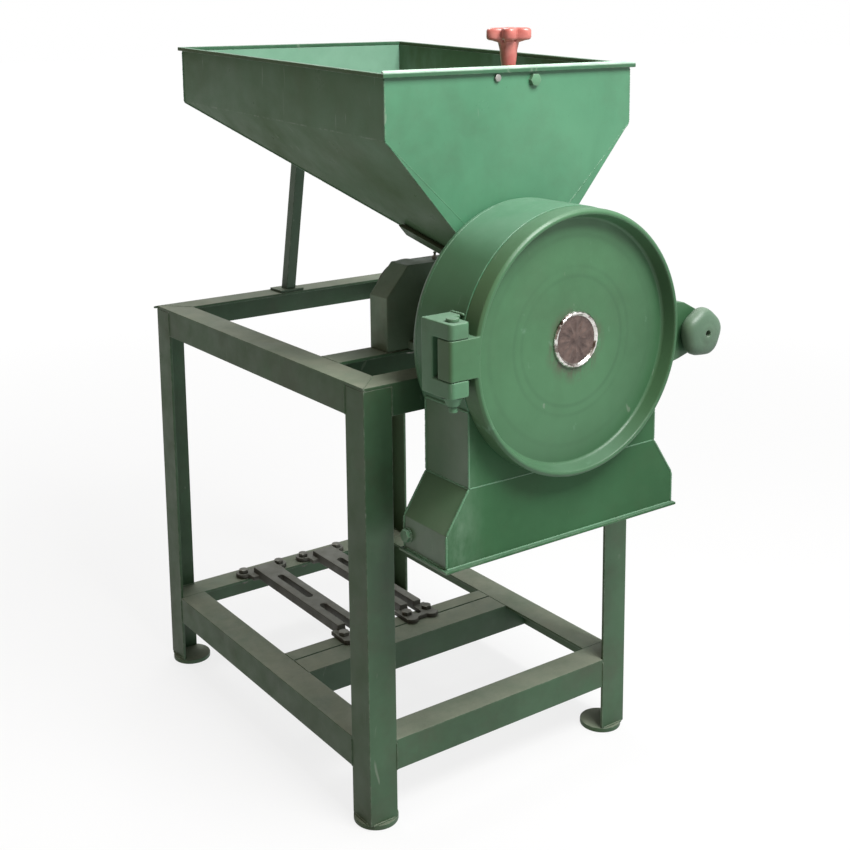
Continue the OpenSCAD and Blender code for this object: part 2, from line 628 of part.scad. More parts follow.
module hopper_rear_wall() color(green) place() translate([mill_x, 0, 0]) {
  hi = hopper_half - sheet;
  ri = hopper_rear - sheet;
  zr = bend_at(hopper_rear);
  plate([[-hopper_half, hopper_rear, top_at(hopper_rear)], [hopper_half, hopper_rear, top_at(hopper_rear)],
         [hopper_half, hopper_rear, zr], [-hopper_half, hopper_rear, zr]],
        [[-hi, ri, top_at(ri)], [hi, ri, top_at(ri)],
         [hi, ri, bend_at(ri) + side_up], [-hi, ri, bend_at(ri) + side_up]]);
  plate([[-hopper_half, hopper_rear, zr], [hopper_half, hopper_rear, zr],
         [edge_x(front_y), front_y, edge_z(front_y)], [-edge_x(front_y), front_y, edge_z(front_y)]],
        [[-hi, ri, bend_at(ri) + side_up], [hi, ri, bend_at(ri) + side_up],
         [edge_x(front_y) - low_in, front_y, edge_z(front_y) + low_up],
         [-edge_x(front_y) + low_in, front_y, edge_z(front_y) + low_up]]);
}
module front_outline()
  polygon([[-chute_half, chute_z], [chute_half, chute_z], [hopper_half, bend_z], [hopper_half, top_at(db)],
           [-hopper_half, top_at(db)], [-hopper_half, bend_z]]);
module hopper_front_wall() color(green) place() difference() {
  translate([mill_x, 0, 0]) yext(db, front_y) front_outline();
  feed_cut(db - 1, front_y + 1);
  bracket_holes();
}
// The gate bracket hangs on a small screw at the left and a larger bolt at the right.
module bracket_holes() {
  ycyl(3.3, db - 1, front_y + 10, mill_x - 35, bolt_z + 5);
  ycyl(5.5, db - 1, front_y + 10, mill_x + 35, bolt_z);
}
module hopper_rim() color(green) place()
  translate([mill_x, db, top_at(db)]) rotate([atan(rim_rise / hl), 0, 0])
    linear_extrude(lip_thick) difference() {
      translate([-hopper_half - lip, -lip]) square([2 * (hopper_half + lip), hl + 2 * lip]);
      translate([-hopper_half + sheet, sheet]) square([2 * (hopper_half - sheet), hl - 2 * sheet]);
    }
// The tapered lower part of the hopper grown outwards by g, as a solid wedge.
module wedge(g) {
  gs = g * sqrt(1 + side_slope * side_slope);
  gb = g / cos(atan(back_slope));
  y0 = db;
  y1 = hopper_rear;
  cx = chute_half + gs - gb * side_slope;
  cz = chute_z - gb;
  plate([[-hopper_half - gs, y0, bend_z], [hopper_half + gs, y0, bend_z], [cx, y0, cz], [-cx, y0, cz]],
        [[-hopper_half - gs, y1, bend_at(y1)], [hopper_half + gs, y1, bend_at(y1)],
         [hopper_half + gs - gb * side_slope, y1, bend_at(y1) - gb],
         [-hopper_half - gs + gb * side_slope, y1, bend_at(y1) - gb]]);
}
module inlet_throat() color(dark_green) place() difference() {
  intersection() {
    translate([mill_x, 0, 0]) wedge(throat_wall);
    box([-400, db, 700], [400, -throat_rear, 945]);
    translate([0, db, chute_z]) rotate([atan(back_slope), 0, 0])
      translate([-400, -100, -40]) cube([800, 900, 40 + throat_lap]);
  }
  translate([mill_x, 0, 0]) wedge(0.05);
  translate([mill_x, 0, 0]) yext(db - 1, front_y + 0.1) front_outline();
}
module hopper_strut() color(dark_green) place() difference() {
  union() {
    intersection() {
      translate([mill_x + 10 - strut_leg / 2, strut_y0 - strut_leg / 2, stand_height - 20])
       rotate([strut_angle, 0, 0])
        linear_extrude(520)
          polygon([[0, 0], [strut_leg, 0], [strut_leg, 3], [3, 3], [3, strut_leg], [0, strut_leg]]);
      box([-100, 100, stand_height], [100, 400, bend_at(hopper_rear) + 28]);
    }
    box([mill_x + 10 - 26, strut_y0 - 20, stand_height], [mill_x + 10 + 26, strut_y0 + 22, stand_height + 5]);
  }
  translate([mill_x, 0, 0]) wedge(0.05);
  box([-300, 0, bend_at(hopper_rear) - 1], [300, hopper_rear + 0.05, 1300]);
}
module gate_bracket() color(green) place() difference() {
  union() {
    box([mill_x - 52, front_y, 1106], [mill_x + 52, front_y + 5, 1147]);
    box([mill_x - 52, front_y, 1142], [mill_x + 52, front_y + 38, 1147]);
  }
  bracket_holes();
  zcyl(gate_screw_diameter / 2 + 0.1, 1090, 1170, mill_x, -gate_screw_y);
}
module bracket_bolt(dx, z, r, af, head) {
  ycyl(r, db - eps, front_y + 14, mill_x + dx, z);
  yhex(af, db - head, db, mill_x + dx, z);
  yhex(af, front_y + 5, front_y + 5 + head, mill_x + dx, z);
}
module bracket_bolts() color(zinc) place() {
  bracket_bolt(-35, bolt_z + 5, 3, 10, 4);
  bracket_bolt(35, bolt_z, 5, 17, 6.5);
}

// ---------- feed gate ----------
module feed_gate() color(steel) place() difference() {
  union() {
    yext(front_y + 0.3, front_y + 5)
      polygon([[mill_x - 50, feed_bottom - 1], [mill_x + 50, feed_bottom - 1],
               [mill_x + 60, feed_bottom + 14], [mill_x + 60, feed_top + 26],
               [mill_x - 60, feed_top + 26], [mill_x - 60, feed_bottom + 14]]);
    box([mill_x - 14, front_y + 4.5, feed_top - 6], [mill_x + 14, -gate_screw_y + 15, feed_top + 22]);
  }
  zcyl(gate_screw_diameter / 2 + 0.1, 800, 1000, mill_x, -gate_screw_y);
}
module gate_screw() color(steel) place() {
  zcyl(gate_screw_diameter / 2, feed_bottom + 14, 1158, mill_x, -gate_screw_y);
  zcyl(gate_screw_diameter / 2 + 2, 1133, 1141.8, mill_x, -gate_screw_y);
}
module star_knob() color(red) place() translate([mill_x, -gate_screw_y, 0]) difference() {
  union() {
    cylinder_stack();
    for (a = [18:72:306])
      rotate([0, 0, a]) {
        box([0, -8, star_top - 19], [star_diameter / 2 - 9, 8, star_top]);
        translate([star_diameter / 2 - 9, 0, star_top - 19]) cylinder(r = 9, h = 19);
      }
    translate([0, 0, star_top - 19]) cylinder(r = star_diameter / 4 + 2, h = 19);
  }
  translate([0, 0, 1140]) cylinder(r = gate_screw_diameter / 2, h = 18);
}
module cylinder_stack() {
  translate([0, 0, 1147.2]) cylinder(r = 11, h = 8);
  translate([0, 0, 1155]) cylinder(r1 = 12, r2 = 16, h = star_top - 19 - 1155);
}

// ---------- rotor ----------
module rotor_shaft() color(steel) place() {
  ycyl(12, rotor_front - 10, rotor_front + 2, mill_x, axis_z);
  ycyl(seat_r, rotor_front + 1, rotor_back, mill_x, axis_z);
  ycyl(22, rotor_back, front_brg_y, mill_x, axis_z);
  ycyl(bore_in, front_brg_y, rear_brg_y + brg_w, mill_x, axis_z);
  ycyl(seat_r, rear_brg_y + brg_w, pulley_y + pulley_width - 2, mill_x, axis_z);
  ycyl(12, pulley_y + pulley_width - 2, pulley_y + pulley_width + 20, mill_x, axis_z);
}
module pin_spots() {
  for (a = [0:90:270])
    translate([mill_x + pin_circle * cos(a), 0, axis_z + pin_circle * sin(a)]) children();
}
module rotor_hub() color(iron) place() difference() {
  union() {
    ycyl(disc_radius, rotor_front, rotor_front + disc_thick, mill_x, axis_z);
    ycyl(disc_radius, rotor_back - disc_thick, rotor_back, mill_x, axis_z);
    ycyl(28, rotor_front, rotor_back, mill_x, axis_z);
  }
  ycyl(seat_r, rotor_front - 1, rotor_back + 1, mill_x, axis_z);
  pin_spots() ycyl(hammer_pin_diameter / 2, rotor_front - 1, rotor_back + 1);
}
module hammer_pins() color(steel) place() pin_spots() {
  ycyl(hammer_pin_diameter / 2, rotor_front - 4, rotor_back);
  ycyl(hammer_pin_diameter / 2 + 3, rotor_back, rotor_back + 5);
}
module hammer(a) color(steel) place()
  translate([mill_x + pin_circle * cos(a), 0, axis_z + pin_circle * sin(a)]) difference() {
    yext((rotor_front + rotor_back - hammer_thick) / 2, (rotor_front + rotor_back + hammer_thick) / 2) {
      circle(r = hammer_width / 2);
      translate([-hammer_width / 2, -hammer_reach]) square([hammer_width, hammer_reach]);
    }
    ycyl(hammer_pin_diameter / 2 + gap, -600, -300);
  }
module hammer_top() hammer(90);
module hammer_right() hammer(0);
module hammer_bottom() hammer(270);
module hammer_left() hammer(180);
module pulley() color(iron) place() difference() {
  translate([mill_x, pulley_y + pulley_width, axis_z]) rotate([90, 0, 0])
    rotate_extrude() difference() {
      square([pulley_diameter / 2, pulley_width]);
      for (h = [pulley_width / 2 - 9.5, pulley_width / 2 + 9.5])
        polygon([[pulley_diameter / 2 + 1, h - 8.7], [pulley_diameter / 2 + 1, h + 8.7],
                 [pulley_diameter / 2 - 13, h + 5.2], [pulley_diameter / 2 - 13, h - 5.2]]);
      translate([27, pulley_width / 2 + 8]) square([pulley_diameter / 2 - 46, pulley_width]);
      translate([27, -1]) square([pulley_diameter / 2 - 46, pulley_width / 2 - 7]);
    }
  ycyl(seat_r, pulley_y - 1, pulley_y + pulley_width + 1, mill_x, axis_z);
}
module shaft_nuts() color(zinc) place() {
  difference() {
    yhex(36, rotor_front - 9, rotor_front, mill_x, axis_z);
    ycyl(12, rotor_front - 20, rotor_front + 2, mill_x, axis_z);
  }
  difference() {
    yhex(36, pulley_y + pulley_width, pulley_y + pulley_width + 15, mill_x, axis_z);
    ycyl(12, pulley_y, pulley_y + pulley_width + 30, mill_x, axis_z);
  }
}

leg_front_left();
leg_front_right();
leg_rear_left();
leg_rear_right();
foot_pads();
upper_rail_front();
upper_rail_rear();
upper_rails_side();
upper_cross_rail();
lower_rail_front();
lower_rail_rear();
lower_rails_side();
lower_cross_rail();
slide_support_bar();
slide_rail_left();
slide_rail_right();
slide_rail_bolts();
bearing_housing();
bearing_cap();
cap_screws();
housing_bolts();
grease_nipples();
bearing_outer_races();
bearing_inner_rings();
bearing_rollers();
casing_drum();
casing_back_plate();
back_plate_bolts();
discharge_skirt();
hinge_bracket();
hinge_pin();
latch_bracket();
screen();
toothed_liner();
door();
badge();
latch_screw();
latch_knob();
latch_washer();
hopper_front_wall();
hopper_left_wall();
hopper_right_wall();
hopper_rear_wall();
hopper_rim();
inlet_throat();
hopper_strut();
gate_bracket();
bracket_bolts();
feed_gate();
gate_screw();
star_knob();
rotor_shaft();
rotor_hub();
hammer_pins();
pulley();
shaft_nuts();
hammer_top();
hammer_right();
hammer_bottom();
hammer_left();
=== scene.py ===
import json
import math
import random

import bmesh
import bpy
from mathutils import Matrix, Quaternion, Vector


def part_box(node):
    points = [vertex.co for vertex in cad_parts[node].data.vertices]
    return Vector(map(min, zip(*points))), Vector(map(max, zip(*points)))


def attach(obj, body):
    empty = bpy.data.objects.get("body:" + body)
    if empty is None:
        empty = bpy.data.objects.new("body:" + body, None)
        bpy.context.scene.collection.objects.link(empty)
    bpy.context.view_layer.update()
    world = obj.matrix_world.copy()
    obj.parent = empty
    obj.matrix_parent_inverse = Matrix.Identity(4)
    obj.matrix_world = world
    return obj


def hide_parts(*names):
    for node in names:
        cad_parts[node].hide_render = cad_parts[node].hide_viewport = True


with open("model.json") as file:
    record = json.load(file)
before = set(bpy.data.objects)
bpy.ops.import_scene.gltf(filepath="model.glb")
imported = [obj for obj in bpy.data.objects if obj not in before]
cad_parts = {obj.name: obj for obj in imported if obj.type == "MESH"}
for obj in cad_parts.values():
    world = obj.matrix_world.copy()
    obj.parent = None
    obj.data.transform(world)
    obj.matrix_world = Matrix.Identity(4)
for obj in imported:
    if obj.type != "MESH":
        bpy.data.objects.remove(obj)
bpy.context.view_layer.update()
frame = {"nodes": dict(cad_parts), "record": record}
NODES = frame["nodes"]
MM = 0.001


# ---------------------------------------------------------------- places taken from the frame
def mid(node):
    lo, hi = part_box(node)
    return (lo + hi) / 2


MILL_X = mid("casing_back_plate").x           # the rotor's axis runs along Y through MILL_X and AXIS_Z
AXIS_Z = mid("casing_back_plate").z
DRUM_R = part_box("casing_back_plate")[1].x - MILL_X
JOINT_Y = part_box("casing_drum")[0].y          # door and casing meet here
SHEET_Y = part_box("hopper_front_wall")[0].y    # the hopper's front face
ANGLE_LEG = 50 * MM                           # the stand's angle iron: leg width and thickness
ANGLE_THICK = 5 * MM


# ---------------------------------------------------------------- camera
def make_camera():
    data = bpy.data.cameras.new("camera")
    data.sensor_width = 36.0
    data.lens = 55.1
    data.shift_x = 0.048
    data.shift_y = -0.2075
    data.clip_end = 80
    cam = bpy.data.objects.new("camera", data)
    bpy.context.scene.collection.objects.link(cam)
    turn = Quaternion((0, 0, 1), math.radians(-34.2)) @ Quaternion((1, 0, 0), math.radians(80.0))
    cam.rotation_mode = "QUATERNION"
    cam.rotation_quaternion = turn @ Quaternion((0, 0, 1), math.radians(-0.87))
    cam.location = (-1.249, -1.760, 1.221)
    bpy.context.scene.camera = cam


make_camera()


# ---------------------------------------------------------------- node helpers for materials
class Graph:
    """Short names for building a material's node tree."""

    def __init__(self, name):
        self.mat = bpy.data.materials.new(name)
        self.mat.use_nodes = True
        self.tree = self.mat.node_tree
        self.tree.nodes.clear()
        self.out = self.tree.nodes.new("ShaderNodeOutputMaterial")
        self.bsdf = self.tree.nodes.new("ShaderNodeBsdfPrincipled")
        self.tree.links.new(self.bsdf.outputs[0], self.out.inputs[0])
        self.coords = self.tree.nodes.new("ShaderNodeTexCoord").outputs["Object"]

    def put(self, socket, value):
        if isinstance(value, bpy.types.NodeSocket):
            self.tree.links.new(value, socket)
        elif value is not None:
            socket.default_value = value

    def node(self, kind, **values):
        n = self.tree.nodes.new(kind)
        for key, value in values.items():
            setattr(n, key, value)
        return n

    def mapped(self, stretch=(1, 1, 1), offset=(0, 0, 0)):
        m = self.node("ShaderNodeMapping")
        m.inputs["Scale"].default_value = stretch
        m.inputs["Location"].default_value = offset
        self.tree.links.new(self.coords, m.inputs["Vector"])
        return m.outputs[0]

    def noise(self, scale, detail=4.0, rough=0.55, stretch=(1, 1, 1), distort=0.0, offset=(0, 0, 0)):
        n = self.node("ShaderNodeTexNoise")
        n.inputs["Scale"].default_value = scale
        n.inputs["Detail"].default_value = detail
        n.inputs["Roughness"].default_value = rough
        n.inputs["Distortion"].default_value = distort
        self.tree.links.new(self.mapped(stretch, offset), n.inputs["Vector"])
        return n.outputs["Fac"]

    def ramp(self, fac, stops):
        n = self.node("ShaderNodeValToRGB")
        while len(n.color_ramp.elements) < len(stops):
            n.color_ramp.elements.new(0.5)
        for e, (pos, col) in zip(n.color_ramp.elements, stops):
            e.position = pos
            e.color = (*col, 1)
        self.put(n.inputs[0], fac)
        return n.outputs[0]

    def step(self, fac, low, high, to_low=0.0, to_high=1.0):
        n = self.node("ShaderNodeMapRange")
        self.put(n.inputs["Value"], fac)
        for key, value in (("From Min", low), ("From Max", high), ("To Min", to_low), ("To Max", to_high)):
            n.inputs[key].default_value = value
        return n.outputs[0]

    def math(self, op, a, b=None, clamp=False):
        n = self.node("ShaderNodeMath", operation=op, use_clamp=clamp)
        self.put(n.inputs[0], a)
        if b is not None:
            self.put(n.inputs[1], b)
        return n.outputs[0]

    def times(self, *factors):
        total = factors[0]
        for f in factors[1:]:
            total = self.math("MULTIPLY", total, f)
        return total

    def mix(self, fac, a, b):
        n = self.node("ShaderNodeMix", data_type="RGBA")
        self.put(n.inputs[0], fac)
        for socket, value in ((n.inputs[6], a), (n.inputs[7], b)):
            self.put(socket, (*value, 1) if isinstance(value, tuple) else value)
        return n.outputs[2]

    def edge(self, radius=0.003, samples=6):
        """1 along edges, 0 on flats."""
        bevel = self.node("ShaderNodeBevel", samples=samples)
        bevel.inputs["Radius"].default_value = radius
        dot = self.node("ShaderNodeVectorMath", operation="DOT_PRODUCT")
        self.tree.links.new(bevel.outputs[0], dot.inputs[0])
        self.tree.links.new(self.node("ShaderNodeNewGeometry").outputs["Normal"], dot.inputs[1])
        return self.step(dot.outputs["Value"], 0.995, 0.90)

    def facing(self, axis):
        sep = self.node("ShaderNodeSeparateXYZ")
        self.tree.links.new(self.node("ShaderNodeNewGeometry").outputs["Normal"], sep.inputs[0])
        return sep.outputs[axis]

    def coord(self, axis):
        sep = self.node("ShaderNodeSeparateXYZ")
        self.tree.links.new(self.coords, sep.inputs[0])
        return sep.outputs[axis]

    def away_from(self, point, scale=(1, 1, 1)):
        """Distance from a point, with each axis weighted."""
        n = self.node("ShaderNodeVectorMath", operation="LENGTH")
        shift = tuple(-p * s for p, s in zip(point, scale))
        self.tree.links.new(self.mapped(scale, shift), n.inputs[0])
        return n.outputs["Value"]

    def bump(self, height, strength=0.3, distance=0.001, normal=None):
        n = self.node("ShaderNodeBump")
        n.inputs["Strength"].default_value = strength
        n.inputs["Distance"].default_value = distance
        self.put(n.inputs["Height"], height)
        if normal is not None:
            self.put(n.inputs["Normal"], normal)
        return n.outputs[0]

    def finish(self, color, rough, metal=0.0, normal=None, **direct):
        self.put(self.bsdf.inputs["Base Color"], (*color, 1) if isinstance(color, tuple) else color)
        self.put(self.bsdf.inputs["Roughness"], rough)
        self.put(self.bsdf.inputs["Metallic"], metal)
        if normal is not None:
            self.put(self.bsdf.inputs["Normal"], normal)
        for key, value in direct.items():
            self.bsdf.inputs[key.replace("_", " ")].default_value = value
        return self.mat


# ---------------------------------------------------------------- materials
SOOT = (0.014, 0.016, 0.011)
BARE = (0.19, 0.22, 0.175)
OIL_BROWN = (0.040, 0.032, 0.021)
LEFT_SHADE = (0.060, 0.076, 0.038)         # painted shade on the left faces


def paint(name, base, light, dark, dust, dust_amount=0.35, gloss=0.28, chip=0.55, dirt=0.5, grain=0.06,
          side=0.4, painted_sheen=(0.38, 0.12), extra=None):
    """Machine enamel: uneven colour, dusty tops, grimy patches, worn and chipped edges, fine scratches.
    The left faces get painted shade (strength: side) and a painted sheen (the second value of the sheen
    pair)."""
    g = Graph(name)
    broad = g.noise(3.2, 5, 0.6)
    fine = g.noise(46, 4, 0.6, offset=(3, 1, 2))
    tone = g.ramp(broad, [(0.30, dark), (0.52, base), (0.72, light)])
    tone = g.mix(g.step(fine, 0.45, 0.8, 0, 0.30), tone, light)
    runs = g.step(g.noise(16, 5, 0.6, stretch=(1, 1, 0.22), offset=(2, 6, 4)), 0.55, 0.75, 0, 0.35)
    tone = g.mix(runs, tone, dark)
    grime = g.step(g.noise(7.5, 6, 0.65, offset=(8, 4, 1)), 0.50, 0.74)
    tone = g.mix(g.times(grime, dirt), tone, OIL_BROWN)
    up = g.step(g.facing("Z"), 0.6, 0.98)
    patchy = g.step(g.noise(11, 6, 0.7, offset=(5, 5, 5)), 0.30, 0.62, dust_amount * 0.4, dust_amount)
    dusty = g.times(up, patchy)
    tone = g.mix(dusty, tone, dust)
    # painted shade: faces turned to the left are mixed toward a dull dark tone
    leftward = g.step(g.facing("X"), -0.35, -0.85)
    left_shade_mask = g.times(leftward, g.step(g.noise(5, 5, 0.6, offset=(6, 2, 7)), 0.25, 0.7, 0.7, 1))
    tone = g.mix(g.times(left_shade_mask, side), tone, LEFT_SHADE)
    if extra is not None:
        tone = extra(g, tone)
    breakup = g.step(g.noise(85, 5, 0.7, offset=(1, 7, 3)), 0.46, 0.60)
    tone = g.mix(g.times(g.edge(0.0028), breakup, chip), tone, BARE)
    scratch = g.step(g.noise(34, 2, 0.4, stretch=(1, 6, 0.3), distort=1.5, offset=(7, 7, 2)), 0.735, 0.76)
    tone = g.mix(g.times(scratch, 0.35), tone, BARE)
    speck = g.step(g.noise(240, 3, 0.6, offset=(2, 2, 9)), 0.70, 0.78)
    tone = g.mix(g.times(speck, 0.35), tone, SOOT)
    rough = g.step(g.noise(22, 5, 0.6, offset=(9, 2, 6)), 0.3, 0.7, gloss, gloss + 0.2)
    rough = g.math("ADD", rough, g.times(dusty, 0.35), clamp=True)
    ripple = g.bump(g.noise(30, 3, 0.5, offset=(4, 4, 4)), 0.10, 0.0012)
    peel = g.bump(g.noise(420, 2, 0.5), grain, 0.0005, ripple)
    # painted sheen: the specular level changes on the shaded left faces
    g.put(g.bsdf.inputs["Specular IOR Level"], g.step(g.times(left_shade_mask, min(1, 2 * side)), 0, 1, *painted_sheen))
    return g.finish(tone, rough, 0.0, peel)


def cast(name, base, light, rust, rust_amount=0.3, rough_low=0.45, metal=0.3, dust=0.35):
    """Sand-cast iron, oily and a little rusty, with dust on its upper faces."""
    g = Graph(name)
    tone = g.ramp(g.noise(9, 6, 0.65), [(0.3, base), (0.7, light)])
    tone = g.mix(g.step(g.noise(14, 7, 0.7, offset=(3, 3, 3)), 0.52, 0.72, 0, rust_amount), tone, rust)
    tone = g.mix(g.times(g.edge(0.002), 0.45), tone, (0.22, 0.21, 0.17))
    up = g.step(g.facing("Z"), 0.6, 0.98)
    tone = g.mix(g.times(up, dust), tone, (0.22, 0.23, 0.19))
    grain = g.bump(g.noise(320, 4, 0.65), 0.35, 0.0008)
    grain = g.bump(g.noise(38, 4, 0.6), 0.25, 0.0015, grain)
    rough = g.step(g.noise(40, 5, 0.6), 0.3, 0.7, rough_low, rough_low + 0.25)
    return g.finish(tone, rough, metal, grain)


def metal(name, base, dark, rough_low=0.25, rust_amount=0.15, stretch=(1, 1, 1), scratch=0.12):
    """Machined or plated steel with fine marks and a little tarnish."""
    g = Graph(name)
    tone = g.ramp(g.noise(18, 5, 0.6), [(0.3, dark), (0.65, base)])
    tarnish = g.step(g.noise(26, 6, 0.7, offset=(6, 1, 1)), 0.56, 0.75, 0, rust_amount)
    tone = g.mix(tarnish, tone, (0.20, 0.11, 0.06))
    marks = g.noise(180, 3, 0.6, stretch=stretch)
    rough = g.step(marks, 0.3, 0.7, rough_low, rough_low + 0.2)
    return g.finish(tone, rough, 0.9, g.bump(marks, scratch, 0.0004))


def inner_wall_light_and_dust(g, tone):
    """Paler inner face of the rear wall, painted light from the front with patchy meal dust, and greyer
    smudges on the right wall's.
    """
    inward = g.step(g.facing("Y"), -0.25, -0.75)
    behind = g.step(g.coord("Y"), SHEET_Y + 0.05, SHEET_Y + 0.15)
    patch = g.step(g.noise(9, 5, 0.6, offset=(3, 9, 1)), 0.25, 0.75, 0.45, 0.80)
    # painted light: the rear wall's inner face, turned to the front, is made paler, in patches like meal dust
    tone = g.mix(g.times(inward, behind, patch), tone, (0.205, 0.355, 0.265))
    right_wall = g.times(g.step(g.facing("X"), -0.3, -0.8), g.step(g.coord("X"), 0.0, 0.05))
    smudge = g.step(g.noise(11, 5, 0.65, stretch=(1, 1, 0.45), offset=(2, 1, 6)), 0.42, 0.62, 0, 0.55)
    return g.mix(g.times(right_wall, smudge), tone, (0.105, 0.180, 0.125))


def casing_left_shade(g, tone):
    """Painted shade on faces turned well to the left, which starts in a fairly clear line on the casing."""
    return g.mix(g.step(g.facing("X"), -0.58, -0.74, 0, 0.45), tone, (0.030, 0.064, 0.030))


def hem_highlight_and_wear(g, tone):
    """Painted highlight along the hopper's hemmed front edge, with the paint rubbed and chalky in ragged
    patches.
    """
    # painted highlight mixed with rubbed paint: ragged pale patches along the hem
    ragged = g.step(g.noise(14, 5, 0.7, offset=(5, 1, 4)), 0.30, 0.60, 0.35, 0.85)
    return g.mix(ragged, tone, (0.42, 0.56, 0.46))


def door_wear_and_shade(g, tone):
    """Brown smear round the badge, darker rings along the turned grooves, painted shade on the right and
    below, rubbed spots.
    """
    badge_at = mid("badge")
    smear_drop = 8 * MM
    near = g.step(g.away_from((badge_at.x, badge_at.y, badge_at.z - smear_drop)), 0.060, 0.042)
    ragged = g.step(g.noise(60, 5, 0.7, stretch=(1, 1, 0.4)), 0.42, 0.62)
    tone = g.mix(g.times(near, ragged, 0.75), tone, (0.060, 0.045, 0.034))
    out = g.away_from((MILL_X, 0, AXIS_Z), scale=(1, 0, 1))
    grooves = ((0.095, 0.004, 0.30), (0.109, 0.004, 0.22), (0.153, 0.005, 0.16))
    for radius, half_width, amount in grooves:
        off_groove = g.math("ABSOLUTE", g.math("SUBTRACT", out, radius))
        ring = g.step(off_groove, half_width, half_width * 0.3)
        broken = g.step(g.noise(7, 4, 0.6, offset=(radius * 90, 0, 3)), 0.35, 0.6, 0.2, 1)
        tone = g.mix(g.times(ring, broken, amount), tone, (0.020, 0.058, 0.026))
    # painted shade: the door darkens toward its right side and its bottom
    right_low_shade = (0.021, 0.060, 0.026)
    tone = g.mix(g.step(g.coord("X"), MILL_X + 0.06, MILL_X + 0.17, 0, 0.45), tone, right_low_shade)
    tone = g.mix(g.step(g.coord("Z"), AXIS_Z - 0.06, AXIS_Z - 0.17, 0, 0.40), tone, right_low_shade)
    rub = g.step(g.noise(26, 4, 0.6, offset=(1, 2, 8)), 0.66, 0.74)
    return g.mix(g.times(rub, 0.35), tone, (0.12, 0.22, 0.15))


def worn_strip(g, tone):
    """Paint rubbed pale along the skirt's left front edge, and a paler tone on its left side."""
    left_side = g.times(g.step(g.facing("X"), -0.5, -0.9), g.step(g.noise(8, 5, 0.6), 0.3, 0.6, 0.12, 0.34))
    tone = g.mix(left_side, tone, (0.130, 0.165, 0.115))
    edge_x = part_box("discharge_skirt")[0].x
    front = g.step(g.facing("Y"), -0.6, -0.9)
    close = g.step(g.coord("X"), edge_x + 0.075, edge_x + 0.030)
    ragged = g.step(g.noise(20, 5, 0.65, stretch=(1, 1, 0.5), offset=(4, 8, 8)), 0.36, 0.62, 0, 0.65)
    return g.mix(g.times(front, close, ragged), tone, (0.105, 0.175, 0.115))


def red_plastic():
    g = Graph("red_knob_plastic")
    tone = g.ramp(g.noise(40, 4, 0.6), [(0.3, (0.31, 0.075, 0.062)), (0.7, (0.43, 0.145, 0.118))])
    tone = g.mix(g.times(g.edge(0.002), 0.4), tone, (0.62, 0.36, 0.31))
    faded = g.step(g.noise(24, 5, 0.7, offset=(4, 1, 2)), 0.58, 0.72, 0, 0.5)
    tone = g.mix(faded, tone, (0.20, 0.035, 0.030))
    rough = g.step(g.noise(60, 4, 0.6), 0.3, 0.7, 0.28, 0.45)
    return g.finish(tone, rough, 0.0, g.bump(g.noise(200, 3, 0.5), 0.12, 0.0006), Coat_Weight=0.15)


def bright_metal():
    g = Graph("badge_bright_metal")
    tone = g.ramp(g.noise(60, 4, 0.6), [(0.35, (0.62, 0.60, 0.56)), (0.6, (0.86, 0.85, 0.82))])
    worn = g.step(g.noise(48, 5, 0.7, offset=(2, 5, 1)), 0.48, 0.58, 0, 0.85)
    tone = g.mix(worn, tone, (0.115, 0.075, 0.058))
    rough = g.step(g.noise(90, 4, 0.6), 0.35, 0.65, 0.10, 0.26)
    return g.finish(tone, rough, 1.0, g.bump(g.noise(120, 3, 0.6), 0.25, 0.0006))


def maroon_enamel():
    g = Graph("badge_maroon_enamel")
    tone = g.ramp(g.noise(70, 5, 0.65), [(0.35, (0.044, 0.028, 0.024)), (0.65, (0.110, 0.074, 0.062))])
    tone = g.mix(g.times(g.edge(0.001), 0.6), tone, (0.40, 0.36, 0.32))
    rough = g.step(g.noise(80, 4, 0.6), 0.3, 0.7, 0.2, 0.4)
    return g.finish(tone, rough, 0.2, g.bump(g.noise(150, 3), 0.2, 0.0004))


